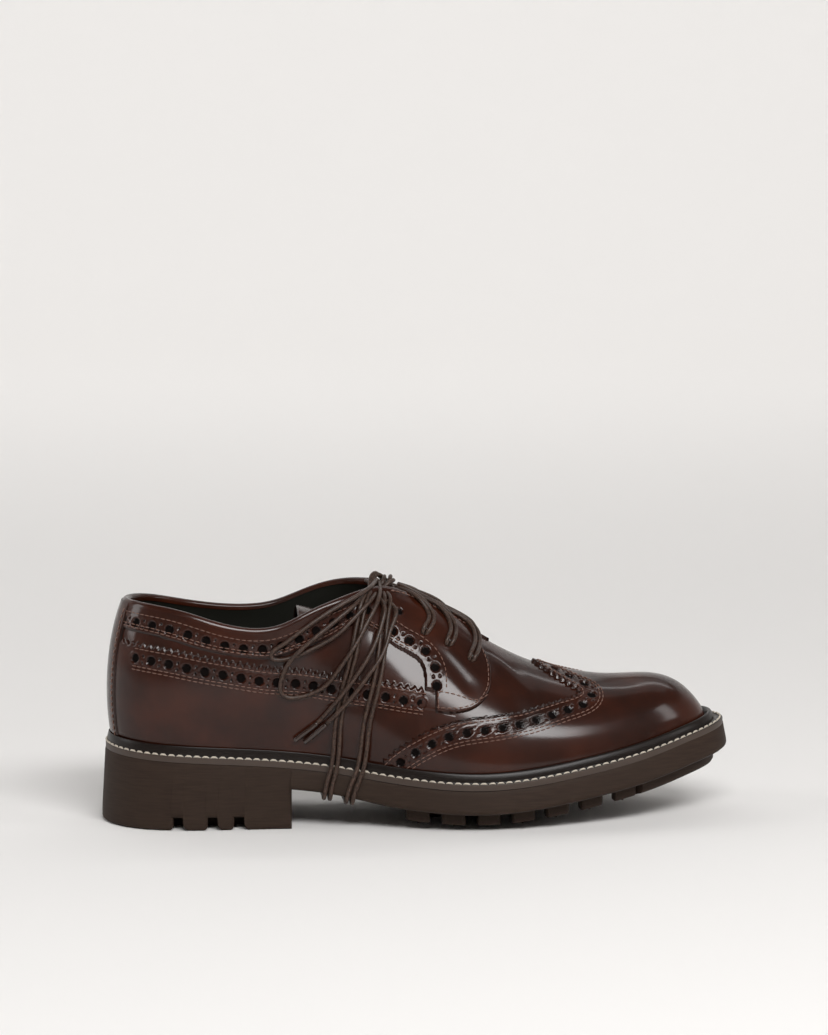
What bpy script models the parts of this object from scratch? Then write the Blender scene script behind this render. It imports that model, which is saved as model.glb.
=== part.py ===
# A men's wing-tip brogue shoe for the right foot, with open lacing and a lugged rubber sole.
# Metres, +Z up. The toe points along +X, the inner side of the foot is +Y, and the origin lies on
# the floor under the middle of the heel.
import math

import bmesh
import bpy
import numpy as np
from mathutils import Vector

# Sole, from its edges as seen from the side and from above
sole_length = 0.3085
ball_width = 0.112
heel_length = 0.0905
heel_centre = 0.045
edge_slant = 0.002
edge_round = 0.0015
side_thickness = 0.0148
waist_thickness = 0.0132
lug_height = 0.0045
lug_length = 0.0115
lug_pitch = 0.0176
lug_width = 0.0145
lug_inset = 0.0065
first_lug = 0.146
toe_lug = 0.266
centre_lug_width = 0.026
notch_height = 0.0062
notch_length = 0.0058
notch_depth = 0.012
notch_starts = (0.0330, 0.0496, 0.0624)

# Heights of the welt's top over the floor at heel, ball and toe, and of the throat over the welt
heel_height = 0.0385
ball_height = 0.0234
toe_height = 0.0465
instep_height = 0.087
toe_swing = 0.005

# Layers
welt_thickness = 0.003
bead_height = 0.005
bead_width = 0.0035
wall = 0.002
overlay = 0.0012
insole_thickness = 0.003
tongue_thickness = 0.002
binding_radius = 0.0015
gap = 0.0003

# Laces
lace_diameter = 0.0021
aglet_length = 0.014
aglet_diameter = 0.0025
knot_length = 0.0170
knot_height = 0.0124
knot_width = 0.0130
knot_x = 0.1385
knot_z = 0.1135
hub_x = 0.1520
hub_z = 0.1115
hub_radius = 0.0036

# Where the upper stands inside the sole's edge, and how its back leans
side_margin = 0.0085
toe_margin = 0.0122
heel_margin = 0.0072
heel_bulge = 0.0026
heel_lean = 0.0052
collar_back = 0.0126
throat_share = 0.628
strap_width = 0.020
band_front = 0.524
cutter_reach = 0.006

side_names = {-1: "lateral", 1: "medial"}

# Height of the welt between heel, ball and toe, as shares of the rise at heel and at toe
seat_columns = ("along", "heel", "toe")
seat_rows = (
    (0.00, 1.000, 0.000), (0.10, 0.855, 0.000), (0.28, 0.620, 0.000), (0.38, 0.385, 0.000),
    (0.43, 0.232, 0.000), (0.51, 0.060, 0.000), (0.58, 0.000, 0.000), (0.66, 0.000, 0.058),
    (0.75, 0.000, 0.231), (0.85, 0.000, 0.487), (0.93, 0.000, 0.762), (1.00, 0.000, 1.000))

# Plan of the last, as shares of half the ball width, measured from its swung centre line
plan_columns = ("along", "lateral", "medial")
plan_rows = (
    (0.00, 0.000, 0.000), (0.06, 0.570, 0.570), (0.13, 0.675, 0.680), (0.28, 0.660, 0.635),
    (0.36, 0.690, 0.600), (0.44, 0.800, 0.670), (0.52, 0.940, 0.830), (0.60, 1.000, 0.955),
    (0.68, 0.970, 1.000), (0.76, 0.885, 0.955), (0.85, 0.740, 0.820), (0.93, 0.525, 0.595),
    (0.98, 0.300, 0.335), (1.00, 0.000, 0.000))

# Section of the last: bulge and lean are shares of the local half width, lift and rise of its height
section_columns = ("along", "bulge_lateral", "bulge_medial", "lift", "lean_lateral", "lean_medial", "rise")
section_rows = (
    (0.00, 1.05, 1.05, 0.34, 1.05, 1.05, 0.74), (0.13, 1.10, 1.10, 0.34, 1.04, 1.04, 0.72),
    (0.28, 1.12, 1.20, 0.34, 1.08, 1.14, 0.72), (0.40, 1.12, 1.22, 0.36, 0.92, 1.02, 0.80),
    (0.48, 1.10, 1.16, 0.38, 0.68, 0.76, 0.88), (0.58, 1.08, 1.10, 0.42, 0.50, 0.52, 0.96),
    (0.68, 1.07, 1.07, 0.46, 0.48, 0.48, 1.00), (0.80, 1.06, 1.06, 0.52, 0.52, 0.52, 1.00),
    (0.92, 1.05, 1.05, 0.56, 0.55, 0.55, 1.00), (1.00, 1.05, 1.05, 0.58, 0.58, 0.58, 1.00))

# Top of the upper: crest is its height over the welt as a share of the instep height, and brow is
# how far the collar and the facing stand from the centre line as a share of half the ball width
top_columns = ("along", "crest_lateral", "crest_medial", "brow_lateral", "brow_medial")
top_rows = (
    (0.000, 0.795, 0.795, 0.000, 0.000), (0.045, 0.795, 0.782, 0.390, 0.390),
    (0.100, 0.771, 0.752, 0.510, 0.510), (0.200, 0.708, 0.733, 0.590, 0.580),
    (0.261, 0.740, 0.770, 0.590, 0.590), (0.312, 0.830, 0.848, 0.570, 0.580),
    (0.364, 0.912, 0.925, 0.490, 0.510), (0.410, 0.972, 0.972, 0.350, 0.365),
    (0.446, 0.990, 0.985, 0.210, 0.225), (0.487, 0.958, 0.958, 0.125, 0.125),
    (0.558, 0.850, 0.850, 0.100, 0.100), (0.628, 0.705, 0.705, 0.090, 0.090),
    (0.686, 0.590, 0.590, 0.000, 0.000), (0.755, 0.478, 0.478, 0.000, 0.000),
    (0.833, 0.390, 0.390, 0.000, 0.000), (0.912, 0.329, 0.329, 0.000, 0.000),
    (0.955, 0.243, 0.243, 0.000, 0.000), (0.985, 0.124, 0.124, 0.000, 0.000),
    (1.000, 0.000, 0.000, 0.000, 0.000))

# Edge of the wing cap: how far along the shoe it runs at each share of the way up the section
wing_columns = ("up", "along")
wing_rows = (
    (0.00, 0.428), (0.09, 0.450), (0.21, 0.502), (0.27, 0.538), (0.31, 0.570), (0.35, 0.612),
    (0.39, 0.650), (0.45, 0.693), (0.53, 0.736), (0.62, 0.775), (0.68, 0.772), (0.76, 0.750),
    (0.84, 0.722), (0.92, 0.700), (1.00, 0.690))

# Top edge of the band that runs from the vamp round the heel, up the section
band_columns = ("along", "up")
band_rows = (
    (0.00, 0.715), (0.05, 0.710), (0.14, 0.725), (0.21, 0.723), (0.28, 0.641), (0.35, 0.527),
    (0.42, 0.450), (0.50, 0.425), (0.545, 0.430))

# Facing: its lower edge with the tab, and how far back it reaches, up the section
facing_columns = ("along", "low")
facing_rows = (
    (0.440, 0.665), (0.466, 0.622), (0.490, 0.592), (0.511, 0.560), (0.514, 0.455), (0.528, 0.452),
    (0.531, 0.340), (0.550, 0.342), (0.570, 0.355), (0.596, 0.391), (0.612, 0.450), (0.620, 0.540),
    (0.623, 0.640))


# Tongue: how far its middle stands over its sides, and where each side lies up the section
tongue_columns = ("along", "crown", "up_edge", "up_middle", "up_inner")
tongue_rows = (
    (0.660, 0.0000, 0.800, 0.880, 0.960), (0.632, 0.0004, 0.780, 0.870, 0.960),
    (0.600, 0.0006, 0.760, 0.860, 0.960), (0.560, 0.0008, 0.740, 0.840, 0.950),
    (0.520, 0.0010, 0.730, 0.820, 0.920), (0.480, 0.0016, 0.720, 0.800, 0.880),
    (0.440, 0.0030, 0.690, 0.750, 0.810), (0.400, 0.0056, 0.620, 0.680, 0.740),
    (0.360, 0.0085, 0.610, 0.670, 0.730), (0.334, 0.0105, 0.640, 0.700, 0.760),
    (0.308, 0.0120, 0.670, 0.735, 0.800))


# Laces on the outer side of the shoe: how far along and how far up the section each point lies, and
# its layer, 0 for a strand on the leather and 1 for one that crosses over another
route_columns = ("along", "up", "layer")
bar_rows = {
    "front": ((0.586, 0.655, 0.1), (0.595, 0.748, 0.1), (0.597, 0.857, 0.2), (0.588, 0.940, 0.4), (0.560, 0.990, 1.1),
              (0.525, 0.995, 1.9)),
    "middle": ((0.549, 0.700, 0.1), (0.556, 0.788, 0.1), (0.553, 0.870, 0.2), (0.537, 0.950, 0.5), (0.510, 0.990, 1.1)),
    "back": ((0.510, 0.725, 0.1), (0.520, 0.810, 0.1), (0.515, 0.885, 0.2), (0.500, 0.940, 0.5), (0.486, 0.970, 0.9))}
strand_step = 0.0085
loop_one_rows = (
    (0.395, 0.985, 0.80), (0.378, 0.968, 0.50), (0.345, 0.950, 0.10), (0.314, 0.905, 0.00), (0.284, 0.862, 0.00),
    (0.264, 0.830, 0.00), (0.2545, 0.797, 0.00), (0.2555, 0.763, 0.00), (0.266, 0.733, 0.00),
    (0.283, 0.715, 0.00), (0.303, 0.708, 0.00), (0.328, 0.718, 0.00), (0.352, 0.735, 0.30),
    (0.373, 0.768, 0.90), (0.392, 0.823, 1.10), (0.406, 0.865, 1.20))
loop_two_rows = (
    (0.425, 0.850, 1.10), (0.411, 0.743, 1.10), (0.401, 0.674, 1.10), (0.391, 0.622, 1.10), (0.377, 0.563, 1.00),
    (0.365, 0.513, 0.80), (0.354, 0.472, 0.40), (0.341, 0.445, 0.10), (0.324, 0.428, 0.00),
    (0.308, 0.424, 0.00), (0.292, 0.434, 0.00), (0.280, 0.464, 0.00), (0.2755, 0.510, 0.00),
    (0.2755, 0.560, 0.10), (0.279, 0.620, 0.50), (0.285, 0.680, 1.10), (0.300, 0.738, 1.10),
    (0.326, 0.795, 1.10), (0.349, 0.838, 1.10), (0.370, 0.878, 1.20))
end_one_rows = (
    (0.441, 0.790, 1.10), (0.438, 0.725, 1.10), (0.429, 0.627, 1.10), (0.415, 0.544, 1.10), (0.396, 0.463, 1.10),
    (0.375, 0.386, 1.00), (0.354, 0.312, 0.70), (0.334, 0.246, 0.50), (0.321, 0.213, 0.45), (0.298, 0.150, 0.25))
end_two_rows = (
    (0.461, 0.780, 1.10), (0.454, 0.693, 1.10), (0.446, 0.595, 1.10), (0.435, 0.530, 1.10), (0.421, 0.476, 1.10),
    (0.406, 0.418, 1.10), (0.389, 0.358, 1.15), (0.369, 0.298, 1.15), (0.351, 0.245, 1.05),
    (0.338, 0.207, 0.80), (0.3145, 0.138, 0.30))
wrap_rows = (
    ((0.402, 0.915, 0.05), (0.398, 0.800, 0.05), (0.392, 0.630, 0.05), (0.384, 0.500, 0.05), (0.368, 0.260, 0.10)),
    ((0.411, 0.915, 0.05), (0.407, 0.800, 0.05), (0.401, 0.630, 0.05), (0.393, 0.500, 0.05), (0.377, 0.260, 0.10)),
    ((0.443, 0.880, 0.05), (0.441, 0.790, 0.05), (0.437, 0.600, 0.05), (0.426, 0.390, 0.05), (0.414, 0.240, 0.10)),
    ((0.453, 0.880, 0.05), (0.451, 0.790, 0.05), (0.447, 0.600, 0.05), (0.436, 0.390, 0.05), (0.424, 0.240, 0.10)))
wrap_foot = (0.1066, 0.1094, 0.1171, 0.1200)


def angle(along):
    """Station angle of a share of the length: stations crowd at both rounded ends."""
    return np.arccos(1 - 2 * np.asarray(along, float)) / math.pi


def share(station):
    return (1 - np.cos(math.pi * np.asarray(station, float))) / 2


def spline(knots, values, flat_start=False):
    """Natural cubic spline as a function; flat_start makes its first slope zero."""
    knots, values = np.asarray(knots, float), np.asarray(values, float)
    count = len(knots)
    step = np.diff(knots)
    matrix, right = np.eye(count), np.zeros(count)
    for i in range(1, count - 1):
        matrix[i, i - 1:i + 2] = step[i - 1], 2 * (step[i - 1] + step[i]), step[i]
        right[i] = 6 * ((values[i + 1] - values[i]) / step[i] - (values[i] - values[i - 1]) / step[i - 1])
    if flat_start:
        matrix[0, :2] = 2 * step[0], step[0]
        right[0] = 6 * (values[1] - values[0]) / step[0]
    bend = np.linalg.solve(matrix, right)

    def value(at):
        at = np.asarray(at, float)
        i = np.clip(np.searchsorted(knots, at) - 1, 0, count - 2)
        before, after = at - knots[i], knots[i + 1] - at
        cubic = (bend[i] * after ** 3 + bend[i + 1] * before ** 3) / (6 * step[i])
        low = values[i] / step[i] - bend[i] * step[i] / 6
        high = values[i + 1] / step[i] - bend[i + 1] * step[i] / 6
        return cubic + low * after + high * before

    return value


def column(rows, columns, name, flat_start=False):
    """Spline of one named column over the station angle."""
    at = columns.index(name)
    return spline(angle([row[0] for row in rows]), [row[at] for row in rows], flat_start)


def sides(rows, columns, name, flat_start=False):
    return {side: column(rows, columns, f"{name}_{side_names[side]}", flat_start) for side in (-1, 1)}


seat_heel = column(seat_rows, seat_columns, "heel", True)
seat_toe = column(seat_rows, seat_columns, "toe")
plan = {side: column(plan_rows, plan_columns, side_names[side]) for side in (-1, 1)}
bulge = sides(section_rows, section_columns, "bulge", True)
lean = sides(section_rows, section_columns, "lean", True)
lift = column(section_rows, section_columns, "lift", True)
rise = column(section_rows, section_columns, "rise", True)
crest = sides(top_rows, top_columns, "crest", True)
open_rows = [row for row in top_rows if row[0] <= throat_share]
brow = sides(open_rows, top_columns, "brow")
wing_edge = spline([row[0] for row in wing_rows], [row[1] for row in wing_rows])
band_edge = column(band_rows, band_columns, "up", True)


def centre_line(x):
    """The toe swings to the inner side from the middle of the shoe on."""
    return toe_swing * np.clip(x / sole_length * 2 - 1, 0, 1) ** 2


def seat(x):
    """Height of the welt's top over the floor."""
    station = angle(np.clip(x / sole_length, 0, 1))
    heel_rise, toe_rise = heel_height - ball_height, toe_height - ball_height
    return ball_height + heel_rise * seat_heel(station) + toe_rise * seat_toe(station)


def sole_edge(station, side, inset=0.0):
    """Plan point of the sole's edge, moved in by inset."""
    x = inset + (sole_length - 2 * inset) * share(station)
    y = centre_line(x) + side * (ball_width / 2 - inset) * plan[side](station)
    return x, y


def last_point(station, up, side):
    """Outer face of the upper, from heel back to toe tip and from the welt up to the top edge: each
    section is a cubic curve from the welt over bulge and lean to the crest."""
    station, up = np.broadcast_arrays(np.asarray(station, float), np.asarray(up, float))
    along = share(station)
    closed = along > throat_share
    toe = sole_length - toe_margin
    fade = np.cos(np.clip(along / 0.65, 0, 1) * math.pi / 2) ** 2
    backs = [heel_margin + (back - heel_margin) * fade for back in (heel_margin, heel_bulge, heel_lean, collar_back)]
    half = (ball_width / 2 - side_margin) * plan[side](station)
    mean_crest = (crest[-1](station) + crest[1](station)) / 2
    height = instep_height * np.where(closed, mean_crest, crest[side](station))
    top = ball_width / 2 * brow[side](np.minimum(station, angle(throat_share)))
    widths = (half, half * bulge[side](station), half * lean[side](station), np.where(closed, 0, top))
    lengths = [back + (toe - heel_margin) * along + (heel_margin - back) * 0 for back in backs]
    base = seat(lengths[0]) + gap
    heights = (base, base + height * lift(station), base + height * rise(station), base + height)
    weights = ((1 - up) ** 3, 3 * up * (1 - up) ** 2, 3 * up ** 2 * (1 - up), up ** 3)
    x = sum(w * length for w, length in zip(weights, lengths))
    y = sum(w * width for w, width in zip(weights, widths))
    z = sum(w * high for w, high in zip(weights, heights))
    return np.stack([x, centre_line(x) + side * y, z], axis=-1)


def raw_normal(station, up, side):
    """Outward direction from small steps along and across the last, not yet shared by the halves."""
    step = 1e-4
    throat = float(angle(throat_share))
    here = np.clip(station, 0, 0.9985)
    forward = np.where(here > throat, here + step, np.where(here + step > throat, here, here + step))
    backward = np.where(here > throat, np.maximum(here - step, throat + 1e-9), np.maximum(here - step, 0))
    along = last_point(forward, up, side) - last_point(backward, up, side)
    level = np.clip(up, 0, 1)
    above, below = np.minimum(level + step, 1), np.maximum(level - step, 0)
    across = last_point(here, above, side) - last_point(here, below, side)
    normal = np.cross(across, along) * side
    return normal / np.linalg.norm(normal, axis=-1, keepdims=True)


def last_normal(station, up, side):
    """Outward direction of the last; both halves share it on the back seam and on the ridge."""
    station, up = np.broadcast_arrays(np.asarray(station, float), np.asarray(up, float))
    normal = raw_normal(station, up, side)
    middle = (station <= 0) | ((station > float(angle(throat_share))) & (up >= 1))
    both = (raw_normal(station, up, -1) + raw_normal(station, up, 1)) * np.array([1.0, 0.0, 1.0])
    normal = np.where(middle[..., None], both, normal)
    normal = np.where((station >= 0.9999)[..., None], np.array([1.0, 0.0, 0.0]), normal)
    return normal / np.linalg.norm(normal, axis=-1, keepdims=True)


def last_offset(station, up, side, offset):
    """The last's face moved out by offset; its foot and its toe tip keep to the welt."""
    station, up, offset = np.broadcast_arrays(np.asarray(station, float), up, offset)
    point = last_point(station, up, side) + last_normal(station, up, side) * offset[..., None]
    foot = (up <= 0) | (station >= 0.9999)
    point[..., 2] = np.where(foot, seat(point[..., 0]) + gap, point[..., 2])
    return point


def to_origin(points):
    points = np.array(points, float)
    points[..., 0] -= heel_centre
    return points


def material(name, colour, roughness, metallic=0.0):
    made = bpy.data.materials.new(name)
    made.use_nodes = True
    made.diffuse_color = (*colour, 1.0)
    shader = made.node_tree.nodes["Principled BSDF"]
    shader.inputs["Base Color"].default_value = (*colour, 1.0)
    shader.inputs["Roughness"].default_value = roughness
    shader.inputs["Metallic"].default_value = metallic
    return made


def add_mesh(name, vertices, faces, surface, collection, merge=1e-6):
    """A mesh object from arrays, with doubled points merged and empty faces dropped."""
    mesh = bpy.data.meshes.new(name)
    mesh.from_pydata([tuple(v) for v in to_origin(vertices)], [], [tuple(int(i) for i in f) for f in faces])
    work = bmesh.new()
    work.from_mesh(mesh)
    bmesh.ops.remove_doubles(work, verts=work.verts, dist=merge)
    bmesh.ops.dissolve_degenerate(work, edges=work.edges, dist=merge)
    bmesh.ops.recalc_face_normals(work, faces=work.faces)
    work.to_mesh(mesh)
    work.free()
    mesh.shade_smooth()
    mesh.set_sharp_from_angle(angle=math.radians(40))
    made = bpy.data.objects.new(name, mesh)
    if surface:
        mesh.materials.append(surface)
    collection.objects.link(made)
    return made


def sheet_solid(outer, inner, wrap=False):
    """Closed solid between two grids of points of the same shape; wrap joins last row to first."""
    rows, cols = outer.shape[:2]
    vertices = np.concatenate([outer.reshape(-1, 3), inner.reshape(-1, 3)])
    base = rows * cols
    faces = []
    spans = rows if wrap else rows - 1
    for i in range(spans):
        k = (i + 1) % rows
        for j in range(cols - 1):
            quad = (i * cols + j, k * cols + j, k * cols + j + 1, i * cols + j + 1)
            faces.append(quad)
            faces.append(tuple(base + q for q in reversed(quad)))
        for j in (0, cols - 1):
            quad = (i * cols + j, base + i * cols + j, base + k * cols + j, k * cols + j)
            faces.append(quad if j == 0 else tuple(reversed(quad)))
    if not wrap:
        for i in (0, rows - 1):
            for j in range(cols - 1):
                quad = (i * cols + j, i * cols + j + 1, base + i * cols + j + 1, base + i * cols + j)
                faces.append(quad if i == 0 else tuple(reversed(quad)))
    return vertices, faces


def boolean(target, cutter, operation):
    """Apply an exact boolean and drop the cutter."""
    step = target.modifiers.new(operation.lower(), "BOOLEAN")
    step.operation = operation
    step.solver = "EXACT"
    step.object = cutter
    evaluated = target.evaluated_get(bpy.context.evaluated_depsgraph_get())
    mesh = bpy.data.meshes.new_from_object(evaluated)
    target.modifiers.remove(step)
    old = target.data
    target.data = mesh
    bpy.data.meshes.remove(old)
    bpy.data.objects.remove(cutter)


def side_depth(x):
    """Thickness of the sole's side, thinner under the waist."""
    blend = np.clip((x / sole_length - 0.33) / 0.14, 0, 1)
    return waist_thickness + (side_thickness - waist_thickness) * blend * blend * (3 - 2 * blend)


def sole_under(x, across):
    """Underside of the sole without lugs: it bows down to the middle of the forefoot."""
    bow = ball_height - side_thickness - lug_height
    fore = np.clip((x - heel_length) / (0.5 * sole_length - heel_length), 0, 1)
    toe_fade = np.clip((sole_length - x) / (0.35 * sole_length), 0, 1)
    depth = bow * fore * fore * (3 - 2 * fore) * np.sqrt(toe_fade)
    return seat(x) - side_depth(x) - depth * (1 - across ** 2)


def make_outsole(surface, collection):
    """Sole and heel in one moulding: a side wall, an underside that bows down, and the heel block."""
    breast = angle(heel_length / sole_length)
    heel_stations = np.linspace(0, breast, 14)
    fore_stations = np.linspace(breast, 1, 34)
    stations = np.concatenate([heel_stations, fore_stations])
    in_heel = np.arange(len(stations)) < len(heel_stations)
    across = np.array([-1, -0.72, -0.36, 0, 0.36, 0.72, 1])
    count, wide = len(stations), len(across)

    def under(inset, rise_by):
        grid = np.zeros((count, wide, 3))
        for i, station in enumerate(stations):
            x, left = sole_edge(station, -1, inset)
            right = sole_edge(station, 1, inset)[1]
            nudge = 1e-5 * (i == len(heel_stations))
            y = (left + right) / 2 + (right - left) / 2 * across
            z = np.zeros(wide) if in_heel[i] else sole_under(x, across)
            grid[i] = np.stack([np.full(wide, x + nudge), y, z + rise_by], axis=-1)
        return grid

    def ladder(inset, height):
        grid = np.zeros((count, 2, 3))
        for i, station in enumerate(stations):
            for j, side in enumerate((-1, 1)):
                x, y = sole_edge(station, side, inset)
                grid[i, j] = x, y, height(x)
        return grid

    top = ladder(edge_slant, lambda x: seat(x) - welt_thickness - gap)
    low = under(0.0, edge_round)[:, [0, -1]]
    bottom = under(edge_round, 0.0)
    vertices = np.concatenate([top.reshape(-1, 3), low.reshape(-1, 3), bottom.reshape(-1, 3)])
    low_base, bottom_base = count * 2, count * 4
    faces = []
    for i in range(count - 1):
        faces.append((i * 2, i * 2 + 1, i * 2 + 3, i * 2 + 2))
        for j in (0, 1):
            top_edge = (i * 2 + j, i * 2 + 2 + j)
            low_edge = (low_base + i * 2 + j, low_base + i * 2 + 2 + j)
            rim = j * (wide - 1)
            bottom_edge = (bottom_base + i * wide + rim, bottom_base + (i + 1) * wide + rim)
            faces.append((top_edge[0], top_edge[1], low_edge[1], low_edge[0]))
            faces.append((low_edge[0], low_edge[1], bottom_edge[1], bottom_edge[0]))
        for j in range(wide - 1):
            corner = bottom_base + i * wide + j
            faces.append((corner, corner + 1, corner + wide + 1, corner + wide))
    sole = add_mesh("outsole", vertices, faces, surface, collection)

    notches = []
    for side in (-1, 1):
        for x in notch_starts:
            edge = sole_edge(angle(x / sole_length), side)[1]
            inner, outer = edge - side * notch_depth, edge + side * notch_depth
            notches.append(((x, min(inner, outer), -0.01), (x + notch_length, max(inner, outer), notch_height)))
    boolean(sole, boxes("notches", notches, collection), "DIFFERENCE")
    boolean(sole, make_lugs(collection), "UNION")
    return sole


def boxes(name, pairs, collection):
    """Several boxes in one mesh, each from its low and high corner."""
    work = bmesh.new()
    for low, high in pairs:
        made = bmesh.ops.create_cube(work, size=1.0)["verts"]
        low, high = Vector(low), Vector(high)
        size = high - low
        for vert in made:
            vert.co = low + Vector([size[i] * (vert.co[i] + 0.5) for i in range(3)])
            vert.co.x -= heel_centre
    mesh = bpy.data.meshes.new(name)
    work.to_mesh(mesh)
    work.free()
    made = bpy.data.objects.new(name, mesh)
    made.hide_render = True
    made.display_type = "WIRE"
    collection.objects.link(made)
    return made


def make_lugs(collection):
    """Lugs under the forefoot: a row along each edge, bars down the middle and a crescent at the toe."""
    sink = 0.0015
    vertices, faces = [], []

    def block(low_line, high_line, flat):
        """A lug between two lines of plan points, one quad for each span."""
        first = sum(len(v) for v in vertices)
        count = len(low_line)
        points = np.array(list(low_line) + list(high_line))
        x, y = points[:, 0], points[:, 1]
        station = angle(x / sole_length)
        left, right = sole_edge(station, -1)[1], sole_edge(station, 1)[1]
        across = np.clip((y - (left + right) / 2) / ((right - left) / 2), -1, 1)
        under = sole_under(x, across)
        floor = np.zeros(len(x)) if flat else np.maximum(under - lug_height, 0)
        vertices.append(np.stack([x, y, under + sink], axis=-1))
        vertices.append(np.stack([x, y, floor], axis=-1))
        low, high = first, first + count
        deep = 2 * count
        for i in range(count - 1):
            quad = (low + i, low + i + 1, high + i + 1, high + i)
            faces.append(quad)
            faces.append(tuple(q + deep for q in reversed(quad)))
            faces.append((low + i, low + i + deep, low + i + 1 + deep, low + i + 1))
            faces.append((high + i, high + i + 1, high + i + 1 + deep, high + i + deep))
        for i in (0, count - 1):
            faces.append((low + i, high + i, high + i + deep, low + i + deep))

    count = int((toe_lug - first_lug) / lug_pitch)
    for side in (-1, 1):
        for k in range(count):
            start = first_lug + k * lug_pitch
            ends = angle(np.array([start, start + lug_length]) / sole_length)
            outer = [sole_edge(station, side, lug_inset) for station in ends]
            inner = [(x, y - side * lug_width) for x, y in outer]
            block(outer, inner, False)
    for k in range(count - 1):
        start = first_lug + (k + 0.5) * lug_pitch
        middle = centre_line(start)
        half = centre_lug_width / 2 * (1 - 0.05 * k)
        low = [(start, middle - half), (start + lug_length, middle - half)]
        high = [(start, middle + half), (start + lug_length, middle + half)]
        block(low, high, start < 0.66 * sole_length)
    arc = angle(toe_lug / sole_length)
    stations = np.linspace(arc, 1, 7)
    ring = [(-1, s) for s in stations] + [(1, s) for s in stations[-2::-1]]
    outer = [sole_edge(s, side, lug_inset) for side, s in ring]
    inner = [sole_edge(s, side, lug_inset + lug_width) for side, s in ring]
    block(outer, inner, False)
    return add_mesh("lugs", np.concatenate(vertices), faces, None, collection)


def ring_stations(count):
    """Stations round the shoe: down the outer side to the toe tip and back up the inner side."""
    forth = np.linspace(0, 1, count + 1)
    return [(-1, s) for s in forth] + [(1, s) for s in forth[-2:0:-1]]


def station_list():
    """Stations shared by all forms that lie on the last, and how many of them lie along the opening."""
    throat = float(angle(throat_share))
    opened = np.concatenate([np.linspace(0, 0.30, 9), np.linspace(0.30, throat, 13)[1:]])
    closed = np.linspace(throat + 0.0015, 1, 17)
    return np.concatenate([opened, closed]), len(opened)


def make_welt(surface, collection):
    """Flat flange with the raised bead that closes the seam between upper and sole."""
    forth = station_list()[0]
    ring = [(-1, s) for s in forth] + [(1, s) for s in forth[-2:0:-1]]
    foot = np.array([last_point(s, 0, side) for side, s in ring])
    raised = np.array([last_offset(s, 0.085, side, overlay + 2 * gap) for side, s in ring])
    edge = np.array([sole_edge(s, side, edge_slant) for side, s in ring])
    tangent = np.roll(foot[:, :2], -1, axis=0) - np.roll(foot[:, :2], 1, axis=0)
    outward = np.stack([tangent[:, 1], -tangent[:, 0]], axis=-1)
    outward /= np.linalg.norm(outward, axis=-1, keepdims=True)
    if outward[0, 0] > 0:
        outward = -outward

    def distance(points):
        return np.einsum("ij,ij->i", points[:, :2] - foot[:, :2], outward)

    start = np.maximum(overlay + 2 * gap, distance(raised) + gap)
    room = distance(edge) - start
    bead = np.minimum(bead_width, room * 0.6)
    zero = np.zeros(len(ring))
    profile = ((zero - 0.006, -welt_thickness), (zero - 0.006, 0.0), (start, 0.0), (start, 0.85 * bead_height),
               (start + 0.30 * bead, bead_height), (start + 0.75 * bead, 0.86 * bead_height),
               (start + bead, 0.45 * bead_height), (start + bead, 0.0), (start + room, 0.0),
               (start + room, -welt_thickness))
    rows = []
    for out, high in profile:
        plan_point = foot[:, :2] + outward * out[:, None]
        rows.append(np.column_stack([plan_point, seat(plan_point[:, 0]) + high]))
    rows = np.array(rows)
    count, loops = len(rows), len(ring)
    faces = []
    for i in range(count):
        for j in range(loops):
            a, b = i * loops + j, i * loops + (j + 1) % loops
            c, d = ((i + 1) % count) * loops + (j + 1) % loops, ((i + 1) % count) * loops + j
            faces.append((a, b, c, d))
    return add_mesh("storm_welt", rows.reshape(-1, 3), faces, surface, collection)


def last_shell(name, low, high, surface, collection):
    """Shell between two offsets of the last, open at collar and throat and underneath."""
    stations, opened = station_list()
    ups = np.array([0, 0.11, 0.24, 0.37, 0.50, 0.63, 0.76, 0.89, 1.0])
    station_grid, up_grid = np.meshgrid(stations, ups, indexing="ij")
    rows, cols = station_grid.shape
    vertices, faces = [], []
    for side in (-1, 1):
        for offset in (high, low):
            vertices.append(last_offset(station_grid, up_grid, side, offset).reshape(-1, 3))
    size = rows * cols
    for s in (0, 1):
        outer, inner = 2 * s * size, (2 * s + 1) * size
        for i in range(rows - 1):
            for j in range(cols - 1):
                quad = (i * cols + j, (i + 1) * cols + j, (i + 1) * cols + j + 1, i * cols + j + 1)
                for half in (quad[:3], (quad[0], quad[2], quad[3])):
                    faces.append(tuple(outer + q for q in half))
                    faces.append(tuple(inner + q for q in reversed(half)))
            edges = [0] + [cols - 1] * (i < opened)
            for j in edges:
                faces.append((outer + i * cols + j, inner + i * cols + j,
                              inner + (i + 1) * cols + j, outer + (i + 1) * cols + j))
    return add_mesh(name, np.concatenate(vertices), faces, surface, collection)


def cut_overlay(name, strips, surface, collection):
    """Overlay cut from a shell over the last. Each strip is side, stations and ups along one line of
    the cutter, whose walls stand square to the last."""
    piece = last_shell(name, gap, gap + overlay, surface, collection)
    grids = []
    for offset in (cutter_reach, -cutter_reach):
        rows = []
        for side, stations, ups in strips:
            points = last_offset(stations, ups, side, offset)
            foot = (np.asarray(ups) <= 0) | (np.asarray(stations) >= 0.9999)
            points[..., 2] -= cutter_reach * foot
            rows.append(points)
        grids.append(np.array(rows))
    vertices, faces = sheet_solid(grids[0], grids[1])
    boolean(piece, add_mesh(name + "_cutter", vertices, faces, None, collection), "INTERSECT")
    return piece


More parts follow.
